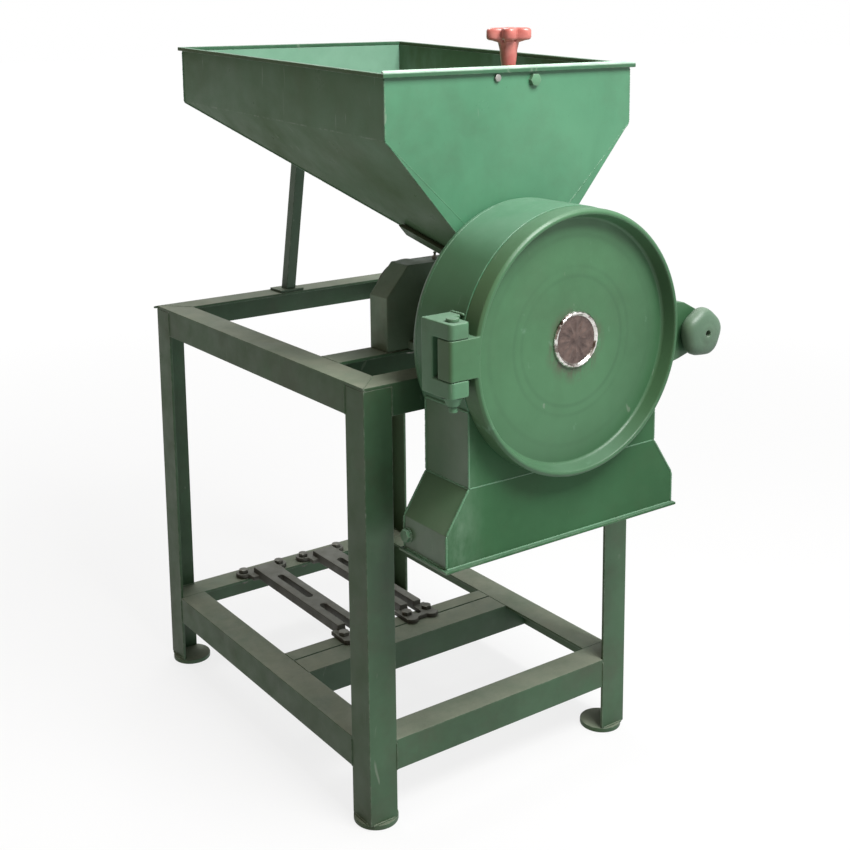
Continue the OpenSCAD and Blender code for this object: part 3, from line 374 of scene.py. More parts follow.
MEAL_DUST = (0.17, 0.27, 0.20)
FLOOR_DUST = (0.175, 0.190, 0.140)
# side sets each enamel's painted shade on its left faces, and the sheen pair sets their painted sheen
MAT = {
    "mill": paint("mill_enamel", (0.048, 0.150, 0.078), (0.060, 0.178, 0.096), (0.037, 0.120, 0.060),
                  MEAL_DUST, dust_amount=0.45, gloss=0.27, chip=0.55, dirt=0.25, side=0.32,
                  extra=casing_left_shade),
    "hopper": paint("hopper_enamel", (0.049, 0.155, 0.083), (0.062, 0.182, 0.100), (0.038, 0.124, 0.064),
                    MEAL_DUST, dust_amount=0.45, gloss=0.27, chip=0.55, dirt=0.22, side=0.80,
                    painted_sheen=(0.38, 0.01), extra=inner_wall_light_and_dust),
    # painted shade: a darker copy of the hopper enamel, for the shade under the hem
    "rim": paint("rim_shaded_enamel", (0.034, 0.094, 0.050), (0.046, 0.118, 0.064), (0.025, 0.070, 0.036), MEAL_DUST,
                 dust_amount=0.45, gloss=0.35, chip=0.60, dirt=0.30, side=0.80, painted_sheen=(0.15, 0.05)),
    "hem": paint("hem_enamel", (0.055, 0.150, 0.085), (0.075, 0.190, 0.110), (0.040, 0.110, 0.060), MEAL_DUST,
                 dust_amount=0.45, gloss=0.35, chip=0.60, dirt=0.30, side=0.80, extra=hem_highlight_and_wear),
    # painted shade: a darker copy of the enamel, for the lower skirt lying in less light
    "skirt": paint("skirt_shaded_enamel", (0.028, 0.084, 0.036), (0.037, 0.106, 0.048), (0.021, 0.064, 0.027),
                   (0.13, 0.20, 0.15), dust_amount=0.45, gloss=0.30, chip=0.65, dirt=0.22, side=0.25,
                   painted_sheen=(0.08, 0.90), extra=worn_strip),
    "door": paint("cast_door_enamel", (0.041, 0.118, 0.052), (0.051, 0.142, 0.066), (0.032, 0.094, 0.040),
                  (0.15, 0.23, 0.17), dust_amount=0.40, gloss=0.33, chip=0.50, dirt=0.14, grain=0.16,
                  side=0.55, extra=door_wear_and_shade),
    "lug": paint("cast_lug_enamel", (0.062, 0.158, 0.083), (0.080, 0.190, 0.108), (0.047, 0.124, 0.063),
                 (0.17, 0.25, 0.19), dust_amount=0.50, gloss=0.36, chip=0.70, dirt=0.35, grain=0.20,
                 side=0.30),
    "nut": paint("hand_nut_enamel", (0.062, 0.112, 0.070), (0.090, 0.150, 0.100), (0.040, 0.076, 0.046),
                 (0.20, 0.25, 0.20), dust_amount=0.60, gloss=0.40, chip=0.85, dirt=0.50, grain=0.25,
                 side=0.30),
    "frame": paint("frame_enamel", (0.030, 0.072, 0.033), (0.044, 0.104, 0.052), (0.020, 0.048, 0.022),
                   FLOOR_DUST, dust_amount=0.90, gloss=0.38, chip=0.65, dirt=0.50, side=0.45),
    "strut": paint("strut_enamel", (0.036, 0.074, 0.041), (0.046, 0.090, 0.050), (0.027, 0.056, 0.031),
                   FLOOR_DUST, dust_amount=0.80, gloss=0.38, chip=0.65, dirt=0.40, side=0.20),
    "block": cast("painted_block_iron", (0.094, 0.150, 0.096), (0.155, 0.215, 0.148), (0.122, 0.102, 0.064)),
    "cast": cast("dark_cast_iron", (0.072, 0.086, 0.066), (0.120, 0.132, 0.104), (0.105, 0.078, 0.048)),
    "slide": cast("worn_slide_iron", (0.050, 0.052, 0.042), (0.086, 0.088, 0.073), (0.075, 0.052, 0.034),
                  rust_amount=0.35, rough_low=0.5, metal=0.15, dust=0.25),
    "steel": metal("machined_steel", (0.52, 0.52, 0.50), (0.38, 0.38, 0.37), 0.24, 0.15, (1, 0.05, 1)),
    "zinc": metal("plated_steel", (0.46, 0.46, 0.42), (0.28, 0.28, 0.26), 0.30, 0.35),
    "old": metal("weathered_bolt_steel", (0.17, 0.17, 0.15), (0.075, 0.075, 0.062), 0.45, 0.45),
    "hammer": metal("hammer_steel", (0.34, 0.33, 0.32), (0.20, 0.19, 0.18), 0.34, 0.30),
    "red": red_plastic(),
    "bright": bright_metal(),
    "maroon": maroon_enamel(),
}
SLOT_MATERIAL = {"mill_green": "mill", "frame_green": "frame", "cast_dark": "cast", "steel": "steel",
                 "zinc_steel": "zinc", "hammer_steel": "hammer", "badge_plate": "bright", "knob_red": "red"}
NODE_MATERIAL = {
    "slide_rail_left": "slide", "slide_rail_right": "slide", "door": "door", "hinge_bracket": "lug",
    "hinge_pin": "lug", "latch_bracket": "lug", "discharge_skirt": "skirt", "hopper_strut": "strut",
    "bearing_housing": "block", "bearing_cap": "block", "hopper_front_wall": "hopper",
    "hopper_left_wall": "hopper", "hopper_right_wall": "hopper", "hopper_rear_wall": "hopper",
    "hopper_rim": "rim"}


def give_material(obj, mat):
    obj.data.materials.clear()
    obj.data.materials.append(mat)


for entry in frame["record"]["subparts"]:
    key = NODE_MATERIAL.get(entry["node"], SLOT_MATERIAL[entry["material_slot"]])
    give_material(NODES[entry["node"]], MAT[key])


# ---------------------------------------------------------------- softened CAD edges
# Edge width in millimetres, and the nodes that have it
SOFT_EDGES = {
    1.0: ("leg_front_left", "leg_front_right", "leg_rear_left", "leg_rear_right", "foot_pads",
          "upper_rail_front", "upper_rail_rear", "upper_rails_side", "upper_cross_rail", "lower_rail_front",
          "lower_rail_rear", "lower_rails_side", "lower_cross_rail", "slide_support_bar", "discharge_skirt",
          "hopper_rim", "hopper_strut", "gate_bracket", "feed_gate", "casing_drum", "rotor_hub", "pulley",
          "bearing_cap", "hinge_pin", "latch_washer"),
    1.6: ("slide_rail_left", "slide_rail_right", "inlet_throat", "bearing_housing"),
    1.3: ("door",),
    2.2: ("hinge_bracket", "latch_bracket"),
    0.7: ("hopper_front_wall", "hopper_left_wall", "hopper_right_wall", "hopper_rear_wall",
          "casing_back_plate", "hammer_top", "hammer_right", "hammer_bottom", "hammer_left", "rotor_shaft",
          "hammer_pins"),
}


def soften(obj, width):
    """Rounds the sharp edges with modifiers only, so the CAD mesh itself stays as it is."""
    weld = obj.modifiers.new("weld", "WELD")
    weld.merge_threshold = 0.02 * MM
    flat = obj.modifiers.new("flatten", "DECIMATE")
    flat.decimate_type = "DISSOLVE"
    flat.angle_limit = math.radians(0.6)
    bevel = obj.modifiers.new("round", "BEVEL")
    bevel.width = width
    bevel.segments = 2
    bevel.limit_method = "ANGLE"
    bevel.angle_limit = math.radians(32)
    bevel.use_clamp_overlap = False
    bevel.miter_outer = "MITER_ARC"
    obj.modifiers.new("normals", "WEIGHTED_NORMAL").keep_sharp = False


for width, names in SOFT_EDGES.items():
    for name in names:
        soften(NODES[name], width * MM)


# ---------------------------------------------------------------- mesh helpers
def frame_along(axis, origin):
    """Matrix whose local Z points along a world axis, such as '-Y', at an origin."""
    way = Vector({"X": (1, 0, 0), "Y": (0, 1, 0), "Z": (0, 0, 1)}[axis[-1]])
    if axis[0] == "-":
        way = -way
    return Matrix.Translation(origin) @ way.to_track_quat("Z", "Y").to_matrix().to_4x4()


def piece(name, bm, body, mat, slot, *nodes, smooth=35):
    """Turns a bmesh into a piece that rides on a CAD body and may stand for CAD nodes."""
    mesh = bpy.data.meshes.new(name)
    bmesh.ops.recalc_face_normals(bm, faces=bm.faces[:])
    bm.to_mesh(mesh)
    bm.free()
    obj = bpy.data.objects.new(name, mesh)
    bpy.context.scene.collection.objects.link(obj)
    mesh.polygons.foreach_set("use_smooth", [True] * len(mesh.polygons))
    mesh.set_sharp_from_angle(angle=math.radians(smooth))
    give_material(obj, MAT[mat])
    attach(obj, body)
    if nodes:
        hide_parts(*nodes)


def skin(bm, rings, place, caps=True):
    """Skins closed rings of local (x, y, z) points, all with the same count, into one closed solid."""
    made = [[bm.verts.new(place @ Vector(p)) for p in ring] for ring in rings]
    n = len(made[0])
    for a, b in zip(made, made[1:]):
        for k in range(n):
            bm.faces.new((a[k], a[(k + 1) % n], b[(k + 1) % n], b[k]))
    if caps:
        bm.faces.new(made[0][::-1])
        bm.faces.new(made[-1])
    else:
        a, b = made[-1], made[0]
        for k in range(n):
            bm.faces.new((a[k], a[(k + 1) % n], b[(k + 1) % n], b[k]))
    return made


def polar(radius, z, count):
    """Ring of points whose radius is a number or a function of the angle."""
    out = []
    for k in range(count):
        a = 2 * math.pi * k / count
        r = radius(a) if callable(radius) else radius
        out.append((r * math.cos(a), r * math.sin(a), z))
    return out


def revolve(bm, profile, place, count=64, closed=False):
    """Revolves (radius, height) points about local Z; a closed profile makes a ring with a bore."""
    skin(bm, [polar(r, z, count) for r, z in profile], place, caps=not closed)


def hexagon(across):
    """Radius of a hexagon at each angle, for polar()."""
    return lambda a: across / 2 / math.cos((a % (math.pi / 3)) - math.pi / 6)


def hex_head(bm, across, z0, z1, place, both=False):
    """Chamfered hexagon: the corners slope away as on a forged head or nut."""
    full, rim = hexagon(across), across / 2 * 0.95

    def crown(z, down):
        return [(x, y, z + down * (math.hypot(x, y) - rim) * 0.5) for x, y, _ in polar(full, 0, 48)]

    start = [polar(rim, z0, 48), crown(z0, 1)] if both else [polar(full, z0, 48)]
    skin(bm, [*start, crown(z1, -1), polar(rim, z1, 48)], place)


def washer(bm, outer, inner, z0, z1, place):
    """Flat ring with chamfered outer edges."""
    c = 0.15 * (z1 - z0)
    section = [(inner, z0), (outer - c, z0), (outer, z0 + c), (outer, z1 - c), (outer - c, z1), (inner, z1)]
    revolve(bm, section, place, 40, closed=True)


def thread(bm, radius, pitch, z0, z1, place, depth=0.6, count=24):
    """A screw thread with a real helix, tapered to plain ends."""
    per_turn = 6
    steps = int((z1 - z0) / pitch * per_turn)
    rings = [polar(radius - 1.6 * depth * pitch, z0, count)]
    for i in range(steps + 1):
        z = z0 + 0.15 * pitch + (z1 - z0 - 0.3 * pitch) * i / steps
        fade = min(1, 2.0 * min(i, steps - i) / per_turn)

        def crest(a, i=i, fade=fade):
            phase = (i / per_turn - a / (2 * math.pi)) % 1
            return radius - depth * pitch * (1 - fade * (1 - abs(2 * phase - 1)))
        rings.append(polar(crest, z, count))
    rings.append(polar(radius - 1.6 * depth * pitch, z1, count))
    skin(bm, rings, place)


def islands(node):
    """Boxes round each separate solid of a CAD node, lowest corner first."""
    mesh = NODES[node].data
    root = {}

    def find(k):
        while root.setdefault(k, k) != k:
            k = root[k]
        return k

    spots = [tuple(round(c * 1e5) for c in v.co) for v in mesh.vertices]
    for poly in mesh.polygons:
        first = find(spots[poly.vertices[0]])
        for v in poly.vertices[1:]:
            root[find(spots[v])] = first
    groups = {}
    for v, spot in zip(mesh.vertices, spots):
        lo, hi = groups.setdefault(find(spot), (v.co.copy(), v.co.copy()))
        for i in range(3):
            lo[i] = min(lo[i], v.co[i])
            hi[i] = max(hi[i], v.co[i])
    return sorted(groups.values(), key=lambda b: tuple(round(c, 4) for c in b[0]))


# ---------------------------------------------------------------- bolts, nuts and nipples
def bolt(bm, place, length, across, head, nut, stub, shank):
    """Bolt along local Z: the head ends at 0, the shank runs down to -length, the nut sits above the stub."""
    hex_head(bm, across, -head, 0, place)
    if not nut:
        revolve(bm, [(shank * 0.9, -length), (shank, -0.9 * length), (shank, -head * 0.7)], place, 24)
        return
    hex_head(bm, across, stub - length, stub - length + nut, place, both=True)
    revolve(bm, [(shank, stub - length + 0.4 * nut), (shank, -0.7 * head)], place, 24)
    thread(bm, shank, 1.4 * MM, -length, stub - length + 0.6 * nut, place, 0.35, 20)


def bolts(node, axis, across, head, nut, stub, shank, pick=lambda lo, hi: True, bm=None):
    """Rebuilds every bolt of a CAD node with chamfered hexagons and threads. The sizes are in millimetres."""
    bm = bm or bmesh.new()
    i = "XYZ".index(axis[-1])
    for lo, hi in islands(node):
        if not pick(lo, hi):
            continue
        top = (lo + hi) / 2
        top[i] = lo[i] if axis[0] == "-" else hi[i]
        place = frame_along(axis, top)
        bolt(bm, place, hi[i] - lo[i], across * MM, head * MM, nut * MM, stub * MM, shank * MM)
    return bm


def all_bolts():
    """Every bolt, screw, grease nipple and shaft nut."""
    piece("slide_rail_hex_bolts", bolts("slide_rail_bolts", "Z", 17, 6.5, 6.5, 3, 5), "mill", "old",
          "zinc_steel", "slide_rail_bolts")
    small = bolts("bracket_bolts", "-Y", 10, 4, 4, 5, 3, lambda lo, hi: lo.x < MILL_X)
    piece("gate_bracket_screw", small, "mill", "zinc", "zinc_steel", "bracket_bolts")
    large = bolts("bracket_bolts", "-Y", 17, 6.5, 6.5, 2.5, 5, lambda lo, hi: lo.x > MILL_X)
    piece("gate_bracket_bolt", large, "mill", "lug", "mill_green", "bracket_bolts")
    skirt_lo, skirt_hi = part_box("discharge_skirt")
    side_bolt_z = 490 * MM
    place = frame_along("-X", (skirt_lo.x + 6 * MM, skirt_hi.y - 16 * MM, side_bolt_z))
    bm = bmesh.new()
    washer(bm, 11 * MM, 4 * MM, 0, 2 * MM, place)
    hex_head(bm, 17 * MM, 1.8 * MM, 8 * MM, place)
    piece("skirt_side_bolt", bm, "mill", "lug", "mill_green")
    piece("back_plate_hex_bolts", bolts("back_plate_bolts", "-Y", 16, 6, 7, 1, 5), "mill", "zinc",
          "zinc_steel", "back_plate_bolts")
    piece("bearing_cap_hex_screws", bolts("cap_screws", "Y", 10, 4, 0, 0, 3), "mill", "zinc",
          "zinc_steel", "cap_screws")
    bm = bolts("housing_bolts", "Z", 18, 7.5, 7.5, 3, 6, lambda lo, hi: lo.y < mid("housing_bolts").y)
    bolts("housing_bolts", "-Z", 18, 7.5, 0, 0, 6, lambda lo, hi: lo.y > mid("housing_bolts").y, bm)
    piece("housing_hex_bolts", bm, "mill", "zinc", "zinc_steel", "housing_bolts")

    bm = bmesh.new()
    for lo, hi in islands("grease_nipples"):
        c = (lo + hi) / 2
        place = Matrix.Translation((c.x, c.y, hi.z))
        hex_head(bm, 9 * MM, -12 * MM, -7 * MM, place, both=True)
        tip = ((2.6, -8), (2.6, -6), (1.8, -4.4), (2.2, -3), (3, -1.8), (2.2, -0.4), (1.0, 0))
        revolve(bm, [(r * MM, z * MM) for r, z in tip], place, 24)
        revolve(bm, [(3 * MM, lo.z - hi.z), (3 * MM, -11.5 * MM)], place, 24)
    piece("greasing_points", bm, "mill", "zinc", "zinc_steel", "grease_nipples")

    bm = bmesh.new()
    for lo, hi in islands("shaft_nuts"):
        c = (lo + hi) / 2
        place = frame_along("Y", (c.x, lo.y, c.z))
        length = hi.y - lo.y
        full, rim, bore = hexagon(36 * MM), 17 * MM, 12.1 * MM
        crown = [(x, y, (math.hypot(x, y) - rim) * 0.5) for x, y, _ in polar(full, 0, 48)]
        top = [(x, y, length - z) for x, y, z in crown]
        skin(bm, [polar(bore, 0, 48), polar(rim, 0, 48), crown, top, polar(rim, length, 48),
                  polar(bore, length, 48)], place, caps=False)
    piece("shaft_end_nuts", bm, "rotor", "zinc", "zinc_steel", "shaft_nuts")


all_bolts()


# ---------------------------------------------------------------- knobs and screws
def star_hand_knob():
    """Five-lobed plastic knob with rounded lobes on a tapered neck."""
    lo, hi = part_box("star_knob")
    axis_y = mid("gate_screw").y
    radius = hi.y - axis_y
    place = Matrix.Translation((MILL_X, axis_y, 0))

    def lobes(inset):
        def r(a):
            swing = 0.5 + 0.5 * math.cos(5 * (a - math.radians(18)))
            return 0.58 * radius + 0.42 * radius * swing ** 0.6 - inset
        return r

    bm = bmesh.new()
    head = hi.z - 19 * MM
    neck = ((10.4, lo.z), (10.8, lo.z + 7 * MM), (11.6, lo.z + 12 * MM), (13.0, head - 14 * MM),
            (15.5, head - 3 * MM))
    lobed = ((8, 0.0), (3.5, 0.6), (1.2, 2.0), (0.0, 4.6), (0.0, 13.6), (0.8, 15.8), (3.0, 17.6), (7.0, 18.4))
    crown = ((11.8, 17.2), (10.8, 16.9), (9.6, 18.4), (8.0, 19.0), (2.0, 19.0))
    rings = [polar(r * MM, z, 80) for r, z in neck]
    rings += [polar(lobes(inset * MM), head + z * MM, 80) for inset, z in lobed]
    rings += [polar(r * MM, head + z * MM, 80) for r, z in crown]
    skin(bm, rings, place)
    piece("star_hand_knob", bm, "gate_handle", "red", "knob_red", "star_knob", smooth=50)


def latch_hand_nut():
    """Cast hand nut with rounded lobes and the screw's end showing in its bore."""
    lo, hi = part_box("latch_knob")
    c = (lo + hi) / 2
    radius, depth = (hi.x - lo.x) / 2, hi.y - lo.y
    place = frame_along("-Y", (c.x, hi.y, c.z))

    def lobes(inset, wave=1.0):
        return lambda a: radius - inset - 1.5 * MM * wave * (1 - math.cos(5 * a - 1.2))

    rings = [polar(23.5 * MM, 0, 96), polar(24.5 * MM, 0.8 * MM, 96)]
    for inset, part, wave in ((5.0, 0.10, 0.4), (1.4, 0.20, 0.9), (0.0, 0.34, 1.0), (0.0, 0.54, 1.0),
                              (1.4, 0.68, 0.9), (5.0, 0.82, 0.7), (11.0, 0.93, 0.4)):
        rings.append(polar(lobes(inset * MM, wave), part * depth, 96))
    nose = ((18.0, 0.965), (14.5, 0.97), (12.8, 0.99), (8.0, 1.0), (5.4, 0.99), (5.0, 0.93), (5.0, 0.70))
    rings += [polar(r * MM, part * depth, 96) for r, part in nose]
    bm = bmesh.new()
    skin(bm, rings, place)
    piece("latch_hand_nut", bm, "latch_handle", "nut", "mill_green", "latch_knob", smooth=50)


def screws():
    """The latch's screw and the feed gate's screw with its collar."""
    lo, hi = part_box("latch_screw")
    c = (lo + hi) / 2
    bm = bmesh.new()
    thread(bm, (hi.x - lo.x) / 2, 2.5 * MM, 0, hi.y - lo.y, frame_along("Y", (c.x, lo.y, c.z)), 0.45, 32)
    piece("latch_threaded_screw", bm, "latch_handle", "zinc", "zinc_steel", "latch_screw")
    lo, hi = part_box("gate_screw")
    place = Matrix.Translation((MILL_X, mid("gate_screw").y, 0))
    collar_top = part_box("gate_bracket")[1].z - 5.2 * MM
    bm = bmesh.new()
    thread(bm, 6 * MM, 5 * MM, lo.z, collar_top - 7 * MM, place, 0.2, 32)
    revolve(bm, [(6 * MM, collar_top - 9 * MM), (6 * MM, hi.z - 0.4 * MM), (5.6 * MM, hi.z)], place, 32)
    collar = ((7.4, 8.8), (8, 8.2), (8, 0.6), (7.4, 0))
    revolve(bm, [(r * MM, collar_top - down * MM) for r, down in collar], place, 40)
    piece("gate_threaded_screw", bm, "gate_handle", "steel", "steel", "gate_screw")


star_hand_knob()
latch_hand_nut()
screws()


# ---------------------------------------------------------------- badge
def badge():
    """Bright rolled ring round a maroon field with a plain twelve-petal relief."""
    lo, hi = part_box("badge")
    c = (lo + hi) / 2
    radius = (hi.x - lo.x) / 2
    place = frame_along("-Y", (c.x, hi.y, c.z))
    bm = bmesh.new()

    def wavy(r, amount):
        return lambda a: r + amount * math.sin(28 * a)

    # distance inside the outer edge, height and waviness of each ring
    outer = ((0.6, 0, 0), (0, 0.8, 0.3), (0.6, 3.0, 0.4), (2.4, 4.6, 0.3), (4.4, 4.4, 0.2), (5.8, 3.0, 0),
             (6.8, 2.2, 0), (7.2, 0.4, 0))
    skin(bm, [polar(wavy(radius - d * MM, w * MM), z * MM, 112) for d, z, w in outer], place, caps=False)
    piece("badge_ring", bm, "door", "bright", "badge_plate", "badge")

    bm = bmesh.new()
    field = radius - 7.0 * MM

    def petals(a, r):
        return max(0.0, math.cos(12 * a)) * math.sin(math.pi * min(1, max(0, (r / field - 0.25) / 0.65)))

    rings = [polar(field, 0.2 * MM, 96)]
    for i in range(12):
        r = field * (1 - i / 12)
        level = 1.6 + (1.0 if r < field * 0.2 else 0.0) + (0.5 if i == 1 else 0.0)
        rings.append([(x, y, (level + 1.1 * petals(math.atan2(y, x), r)) * MM)
                      for x, y, _ in polar(max(r, 0.4 * MM), 0, 96)])
    skin(bm, rings, place)
    piece("badge_field", bm, "door", "maroon", "badge_plate", smooth=60)


badge()


# ---------------------------------------------------------------- welds
random.seed(41)


def bead(bm, a, b, radius=2.2 * MM, sink=0.4):
    """Weld bead from a to b: overlapping ripples, a little uneven."""
    a, b = Vector(a), Vector(b)
    way = (b - a).normalized()
    turn = way.to_track_quat("Z", "Y").to_matrix()
    length = (b - a).length
    count = max(4, int(length / (1.3 * MM)))
    rings = []
    wander = [random.uniform(-0.16, 0.16) for _ in range(count + 1)]
    for i in range(count + 1):
        t = i / count
        end = min(1.0, 0.35 + 3.0 * min(t, 1 - t) * length / (10 * MM))
        r = radius * end * (0.90 + 0.10 * math.sin(i * 2.1) + 0.5 * wander[i])
        drift = Vector((wander[i - 1], wander[(i * 7) % count], 0)) * radius * 0.5
        centre = a + way * length * t + turn @ drift
        rings.append([centre + turn @ Vector(p) for p in polar(r, 0, 8)])
    skin(bm, rings, Matrix.Identity(4))


def stand_welds():
    """Beads where the rails meet the legs, across the mitred top corners, at the feet and the cross rails."""
    bm = bmesh.new()
    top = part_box("upper_rails_side")[1].z
    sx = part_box("upper_rails_side")[1].x
    front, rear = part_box("leg_front_left")[0].y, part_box("leg_rear_left")[1].y
    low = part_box("lower_rail_front")[1].z
    mitre_z, foot_z = top - 0.6 * MM, 8 * MM
    for side in (-1, 1):
        outer_x, inner_x, cross_x = side * sx, side * (sx - ANGLE_THICK), side * (sx - ANGLE_LEG)
        for y, inward in ((front, 1), (rear, -1)):
            inner_y, cross_y = y + inward * ANGLE_THICK, y + inward * ANGLE_LEG
            for z0, z1 in ((top - ANGLE_LEG, top - ANGLE_THICK), (low - ANGLE_LEG, low - ANGLE_THICK)):
                bead(bm, (cross_x, y, z0), (cross_x, y, z1), 1.7 * MM)
                bead(bm, (outer_x, cross_y, z0), (outer_x, cross_y, z1), 1.7 * MM)
            corner = (side * (sx - 2 * MM), y + inward * 2 * MM, mitre_z)
            bead(bm, corner, (cross_x, cross_y, mitre_z), 1.5 * MM)
            bead(bm, (inner_x, cross_y, low), (inner_x, inner_y, low), 2.0 * MM)
            bead(bm, (cross_x, inner_y, low), (inner_x, inner_y, low), 2.0 * MM)
            inset_x, inset_y = side * 4 * MM, inward * 4 * MM
            bead(bm, (outer_x - inset_x, y, foot_z), (cross_x + inset_x, y, foot_z), 2.0 * MM)
            bead(bm, (outer_x, y + inset_y, foot_z), (outer_x, cross_y - inset_y, foot_z), 2.0 * MM)
        for node in ("upper_cross_rail", "lower_cross_rail", "slide_support_bar"):
            lo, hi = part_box(node)
            z = hi.z - 0.5 * MM
            bead(bm, (cross_x, lo.y, z), (cross_x, hi.y, z), 1.6 * MM)
    piece("stand_weld_beads", bm, "mill", "frame", "frame_green", smooth=80)


def skirt_outline():
    """Half widths of the neck and the outlet, and the heights of the flare's bends, from the CAD corners."""
    near = 0.5 * MM
    lip_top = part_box("discharge_skirt")[0].z + 5 * MM
    spots = [v.co - Vector((MILL_X, 0, 0)) for v in NODES["discharge_skirt"].data.vertices]
    corners = [c for c in spots if c.z > lip_top]
    out = max(c.x for c in corners)
    flare_low = max(c.z for c in corners if c.x > out - near)
    upper = [c for c in corners if c.z > flare_low + near]
    neck = max(c.x for c in upper)
    flare_top = min(c.z for c in upper if c.x > neck - near)
    return neck, out, flare_top, flare_low


def casing_welds():
    """Beads along the skirt's corners and bends, where it meets the drum, and round the two side brackets."""
    bm = bmesh.new()
    lo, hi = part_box("discharge_skirt")
    y0 = JOINT_Y
    y1 = hi.y - 6 * MM
    lip_z = lo.z + 4 * MM
    neck, out, flare_top, flare_low = skirt_outline()
    join_z = AXIS_Z - math.sqrt(DRUM_R ** 2 - neck ** 2)
    for side in (-1, 1):
        xn, xo = MILL_X + side * neck, MILL_X + side * out
        bead(bm, (xn, y0, join_z), (xn, y1, join_z), 2.6 * MM)
        for y in (y0 + 0.6 * MM, y1 - 0.6 * MM):
            bead(bm, (xn, y, join_z), (xn, y, flare_top), 1.8 * MM)
            bead(bm, (xn, y, flare_top), (xo, y, flare_low), 2.0 * MM)
            bead(bm, (xo, y, flare_low), (xo, y, lip_z + MM), 2.2 * MM)
        bead(bm, (xn, y0, flare_top), (xn, y1, flare_top), 1.6 * MM)
        bead(bm, (xo, y0, lip_z), (xo, y1, lip_z), 2.2 * MM)
    bend_y = y0 + 0.8 * MM
    bead(bm, (MILL_X - neck, bend_y, flare_top), (MILL_X + neck, bend_y, flare_top), 1.6 * MM)
    bead(bm, (MILL_X - out, y0, lip_z), (MILL_X + out, y0, lip_z), 2.0 * MM)
    bead(bm, (MILL_X - out, y1, lip_z), (MILL_X + out, y1, lip_z), 2.0 * MM)

    def drum_x(side, z):
        return MILL_X + side * math.sqrt((DRUM_R + 0.5 * MM) ** 2 - (z - AXIS_Z) ** 2)

    for node, side in (("hinge_bracket", -1), ("latch_bracket", 1)):
        b_lo, b_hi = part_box(node)
        front = max(b_lo.y, JOINT_Y) + 2 * MM
        for z in (b_lo.z, b_hi.z):
            bead(bm, (drum_x(side, z), b_hi.y, z), (drum_x(side, z), front, z), 2.4 * MM)
        steps = 8
        heights = [b_lo.z + (b_hi.z - b_lo.z) * i / steps for i in range(steps + 1)]
        spots = [(drum_x(side, z), b_hi.y, z) for z in heights]
        for p, q in zip(spots, spots[1:]):
            bead(bm, p, q, 2.4 * MM)
    piece("casing_weld_beads", bm, "mill", "lug", "mill_green", smooth=80)


def rim_hem():
    """Rounded hem along the top of the rim's front edge, worn pale and with a painted highlight."""
    lo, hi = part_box("hopper_rim")
    top = max(v.co.z for v in NODES["hopper_rim"].data.vertices if v.co.y < lo.y + MM)
    radius = 3.2 * MM
    length = hi.x - lo.x
    end = ((0.55, 0), (0.88, 0.8 * MM), (1, 2 * MM))
    rings = [polar(radius * k, z, 24) for k, z in end]
    rings += [polar(radius * k, length - z, 24) for k, z in reversed(end)]
    bm = bmesh.new()
    skin(bm, rings, frame_along("X", Vector((lo.x, lo.y + radius, top + 0.4 * radius))))
    piece("rim_hem", bm, "mill", "hem", "mill_green", smooth=60)


def hopper_welds():
    """Beads down the hopper's four upright corners and its sloping edges."""
    bm = bmesh.new()
    lo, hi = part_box("hopper_front_wall")
    rear_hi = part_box("hopper_rear_wall")[1]
    left, right = lo.x, hi.x
    y = lo.y + 1.2 * MM
    front = [v.co for v in NODES["hopper_front_wall"].data.vertices]
    chute = max(c.x for c in front if c.z < lo.z + MM) - MILL_X
    bend_front = min(c.z for c in front if c.x > right - MM)
    bend_rear = min(v.co.z for v in NODES["hopper_rear_wall"].data.vertices if v.co.y > rear_hi.y - 0.5 * MM)
    for x, tip in ((left, MILL_X - chute), (right, MILL_X + chute)):
        bead(bm, (x, y, bend_front), (x, y, hi.z - MM), 1.5 * MM)
        bead(bm, (x, y, bend_front), (tip, y, lo.z + 40 * MM), 1.7 * MM)
        bead(bm, (x, rear_hi.y, bend_rear), (x, rear_hi.y, rear_hi.z - MM), 1.5 * MM)
        corner = Vector((x, rear_hi.y, bend_rear))
        welded_part = 0.78
        bead(bm, corner, corner.lerp(Vector((tip, lo.y, lo.z)), welded_part), 1.7 * MM)
    piece("hopper_weld_beads", bm, "mill", "mill", "mill_green", smooth=80)


stand_welds()
casing_welds()
hopper_welds()
rim_hem()


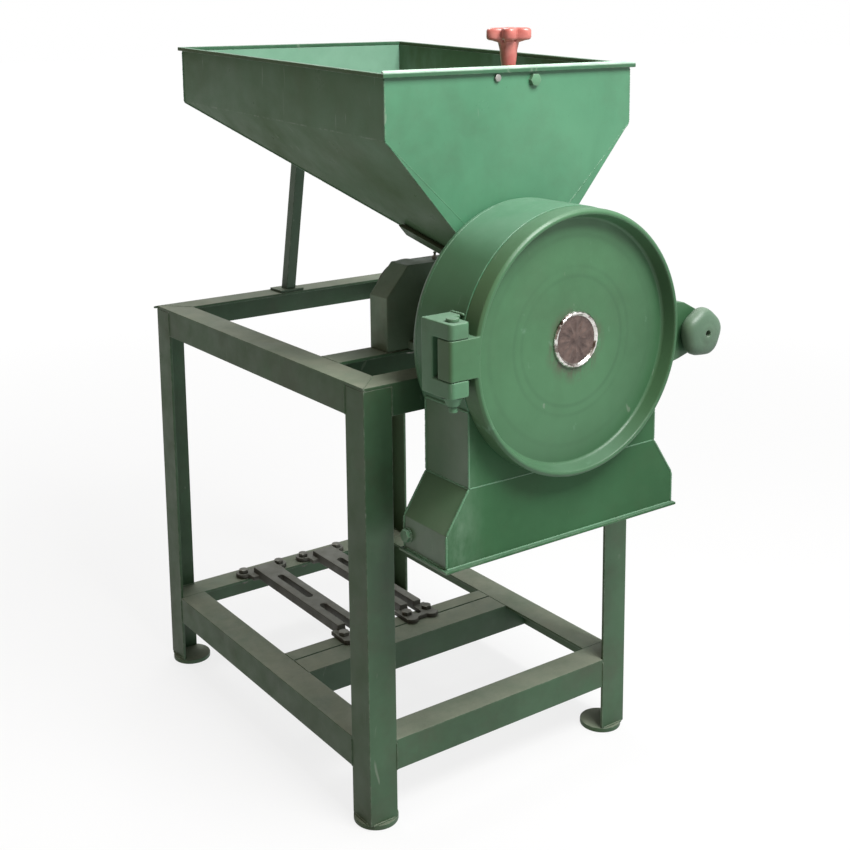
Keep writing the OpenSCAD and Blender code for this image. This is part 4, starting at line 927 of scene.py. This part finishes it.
# ---------------------------------------------------------------- stage
def make_stage():
    """Wide pale floor that glows a little, so that it runs into the white surround."""
    mesh = bpy.data.meshes.new("floor")
    half = 40.0
    corners = [(-half, -half, 0), (half, -half, 0), (half, half, 0), (-half, half, 0)]
    mesh.from_pydata(corners, [], [(0, 1, 2, 3)])
    floor = bpy.data.objects.new("floor", mesh)
    bpy.context.scene.collection.objects.link(floor)
    floor.location.z = -0.0005
    g = Graph("pale_floor")
    far = g.step(g.away_from((0, 0, 0)), 1.0, 3.5)
    g.put(g.bsdf.inputs["Emission Strength"], g.step(far, 0, 1, 0.80, 1.0))
    g.bsdf.inputs["Emission Color"].default_value = (1, 1, 1, 1)
    tone = g.mix(far, (0.12, 0.12, 0.12), (0.02, 0.02, 0.02))
    give_material(floor, g.finish(tone, 1.0, Specular_IOR_Level=0.0))


def area(name, where, target, size, power):
    data = bpy.data.lights.new(name, "AREA")
    data.size = size
    data.energy = power
    lamp = bpy.data.objects.new(name, data)
    lamp.location = where
    lamp.rotation_mode = "QUATERNION"
    lamp.rotation_quaternion = (Vector(target) - Vector(where)).to_track_quat("-Z", "Y")
    bpy.context.scene.collection.objects.link(lamp)


def make_world():
    """Soft studio surround: white on the right and overhead, dim and warm on the left and in front."""
    world = bpy.data.worlds.new("studio")
    world.use_nodes = True
    tree = world.node_tree
    back = tree.nodes["Background"]
    coords = tree.nodes.new("ShaderNodeTexCoord")
    dot = tree.nodes.new("ShaderNodeVectorMath")
    dot.operation = "DOT_PRODUCT"
    dot.inputs[1].default_value = Vector((0.90, 0.15, 0.40)).normalized()
    ramp = tree.nodes.new("ShaderNodeValToRGB")
    dim, white = ramp.color_ramp.elements
    dim.position, dim.color = 0.44, (0.22, 0.165, 0.125, 1)
    white.position, white.color = 0.68, (1.0, 1.0, 1.0, 1)
    scale = tree.nodes.new("ShaderNodeMapRange")
    scale.inputs["From Min"].default_value = -1
    tree.links.new(coords.outputs["Generated"], dot.inputs[0])
    tree.links.new(dot.outputs["Value"], scale.inputs["Value"])
    tree.links.new(scale.outputs[0], ramp.inputs[0])
    tree.links.new(ramp.outputs[0], back.inputs[0])
    back.inputs[1].default_value = 1.0
    bpy.context.scene.world = world


make_stage()
area("key", (0.15, -1.55, 2.55), (0, -0.2, 0.85), 1.1, 104)
area("rim", (0.2, 1.2, 2.6), (0, 0, 0.9), 0.9, 22)
make_world()
bpy.context.scene.view_settings.view_transform = "Standard"
